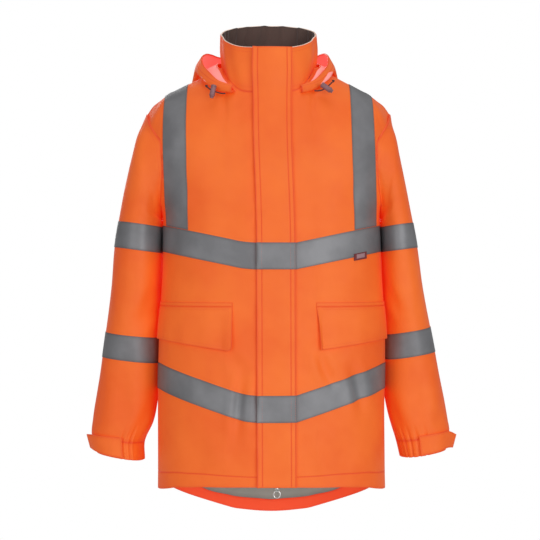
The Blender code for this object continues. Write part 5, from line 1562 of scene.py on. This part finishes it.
# The pink lining: a smooth polyester poplin, its colour deepening to red where the hood shades it; a painted
# pink glow lights the inside of the hood, and a darker red painted shade runs along its edges
pink_poplin = woven("pink_polyester_poplin", "#E8908A", "#EE9E98", "#D9604F", 0.0011, 0.6, 0.1, glow=0.36,
                    glow_shade="#F4766E")
rim = float(HOOD_PROFILE_STEPS)
cut_cloth("hood_cloth", hood, hood.places("up", 0.0, rim, 0.005, (CASING_ROW,)),
          hood.places("across", 0.0, float(HOOD_LAST), 0.006), 0.0, SHELL_WALL, -1, proofed_polyester,
          ["hood_shell"], seams=[("up", CASING_ROW)])
cut_cloth("hood_lining_cloth", hood, hood.places("up", 0.0, rim, 0.005),
          hood.places("across", float(HOOD_LINING_FROM), float(HOOD_LAST - HOOD_LINING_FROM), 0.006),
          -HOOD_LINING_LIFT, LINING_WALL, -1, pink_poplin, ["hood_lining"])
around = hood.places("across", 0.0, float(HOOD_LAST), 0.005)
rim_points, _, _, _ = hood.lay(rim, around, -RIM_SINK)
rolled_seam("hood_rim_casing", rim_points, RIM_ROLL, ends=RIM_ENDS)
root_points, _, _, _ = hood.lay(0.0, around, -HOOD_NECK_ROLL)
rolled_seam("hood_neck_seam", root_points, HOOD_NECK_ROLL)
sew("hood_stitching", [stitch_line(hood, CASING_ROW, around, -STITCH_SINK)], orange_thread)

# ---------------------------------------------------------------- lining and facing inside the back
# The back is lined in grey-green taffeta; below it a red-orange facing follows the curve of the tail.
#               columns of the lining's own soft folds, and how deep each sinks in
LINING_FOLDS = ((2.2, 0.004), (4.6, 0.006), (6.9, 0.005), (9.4, 0.007), (12.1, 0.005), (14.0, 0.006),
                (16.8, 0.005), (19.3, 0.004))
LINING_SLACK = 0.0008
LINING_ENDS = (0.6, 21.4)


def lining_hang(rows, columns, lifts):
    """Soft upright folds that sink inwards, gone at the top and bottom edges."""
    free = np.clip((rows - 1.0) / 1.5, 0, 1) * np.clip((BACK_TOP - 1.6 - rows) / 3, 0, 1)
    for place, depth in LINING_FOLDS:
        lifts = lifts - depth * free * np.exp(-((columns - place - 0.10 * rows) / 0.55) ** 2)
    return rows, columns, lifts


# Facing cloth: a redder polyester with the same fluorescent dye as the shell, and a painted red glow
facing_cloth = woven("polyester_facing_cloth", "#DC5428", "#E46030", "#C03A18", THREAD_PITCH, 0.65, 0.1,
                     glow=0.36)
across = back.places("across", *LINING_ENDS, 0.008)
# The seam marks at the facing's top and the lining's foot paint a shadow line where the two meet
cut_cloth("hem_facing_cloth", back, back.places("up", 0.02, 0.98, 0.005), across, UNDER_LIFT, LINING_WALL, -1,
          facing_cloth, ["hem_facing"], seams=[("up", 0.98), ("up", 0.12)])
cut_cloth("back_lining_cloth", back, back.places("up", 1.0, BACK_TOP - 0.6, 0.009), across,
          UNDER_LIFT - LINING_SLACK, LINING_WALL, -1, taffeta_lining, ["back_lining"],
          shape=lining_hang, seams=[("up", 1.0)])

# ---------------------------------------------------------------- zip slider and its ring
# Cast zinc, nickel plated. The slider grips the zip's lower end; its ring swings from a bar on the slider's
# face. A small cast bridge is added at the top of that face.
SLIDER_BRIDGE = (0.0034, 0.0016, 0.0026)
BRIDGE_SUNK = 0.0003
BRIDGE_BELOW_TOP = 0.0011
BRIDGE_EDGE = 0.0004
BRUSHING_SCALE = 260.0

# Nickel plate: a cool bright grey, slightly brushed and dulled by handling
nickel_plate, tree, nickel = new_finish("nickel_plate")
handled = add_node(tree, "ShaderNodeTexNoise", {"Scale": BRUSHING_SCALE, "Detail": 3.0},
                   {"Vector": object_place(tree)})
shade = add_node(tree, "ShaderNodeMix", {"data_type": "RGBA", 6: linear("#B9B9B6"), 7: linear("#D6D6D3")},
                 {0: handled.outputs["Fac"]})
tree.links.new(shade.outputs[2], nickel.inputs["Base Color"])
dulled = add_node(tree, "ShaderNodeMapRange", {"To Min": 0.22, "To Max": 0.42},
                  {"Value": handled.outputs["Fac"]})
tree.links.new(dulled.outputs[0], nickel.inputs["Roughness"])
nickel.inputs["Metallic"].default_value = 1.0

for node in ("zip_slider", "zip_pull"):
    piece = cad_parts[node]
    piece.data.materials.clear()
    piece.data.materials.append(nickel_plate)
low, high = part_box("zip_slider")
middle = (low + high) / 2
seat = (middle.x, low.y - SLIDER_BRIDGE[1] / 2 + BRIDGE_SUNK, high.z - BRIDGE_BELOW_TOP)
bpy.ops.mesh.primitive_cube_add(size=1.0, location=seat)
bridge = bpy.context.object
bridge.scale = SLIDER_BRIDGE
bpy.ops.object.transform_apply(location=False, rotation=False, scale=True)
bpy.ops.object.mode_set(mode="EDIT")
bpy.ops.mesh.select_all(action="SELECT")
bpy.ops.mesh.bevel(offset=BRIDGE_EDGE, segments=2)
bpy.ops.object.mode_set(mode="OBJECT")
set_in_place(bridge, "slider_bridge", nickel_plate)
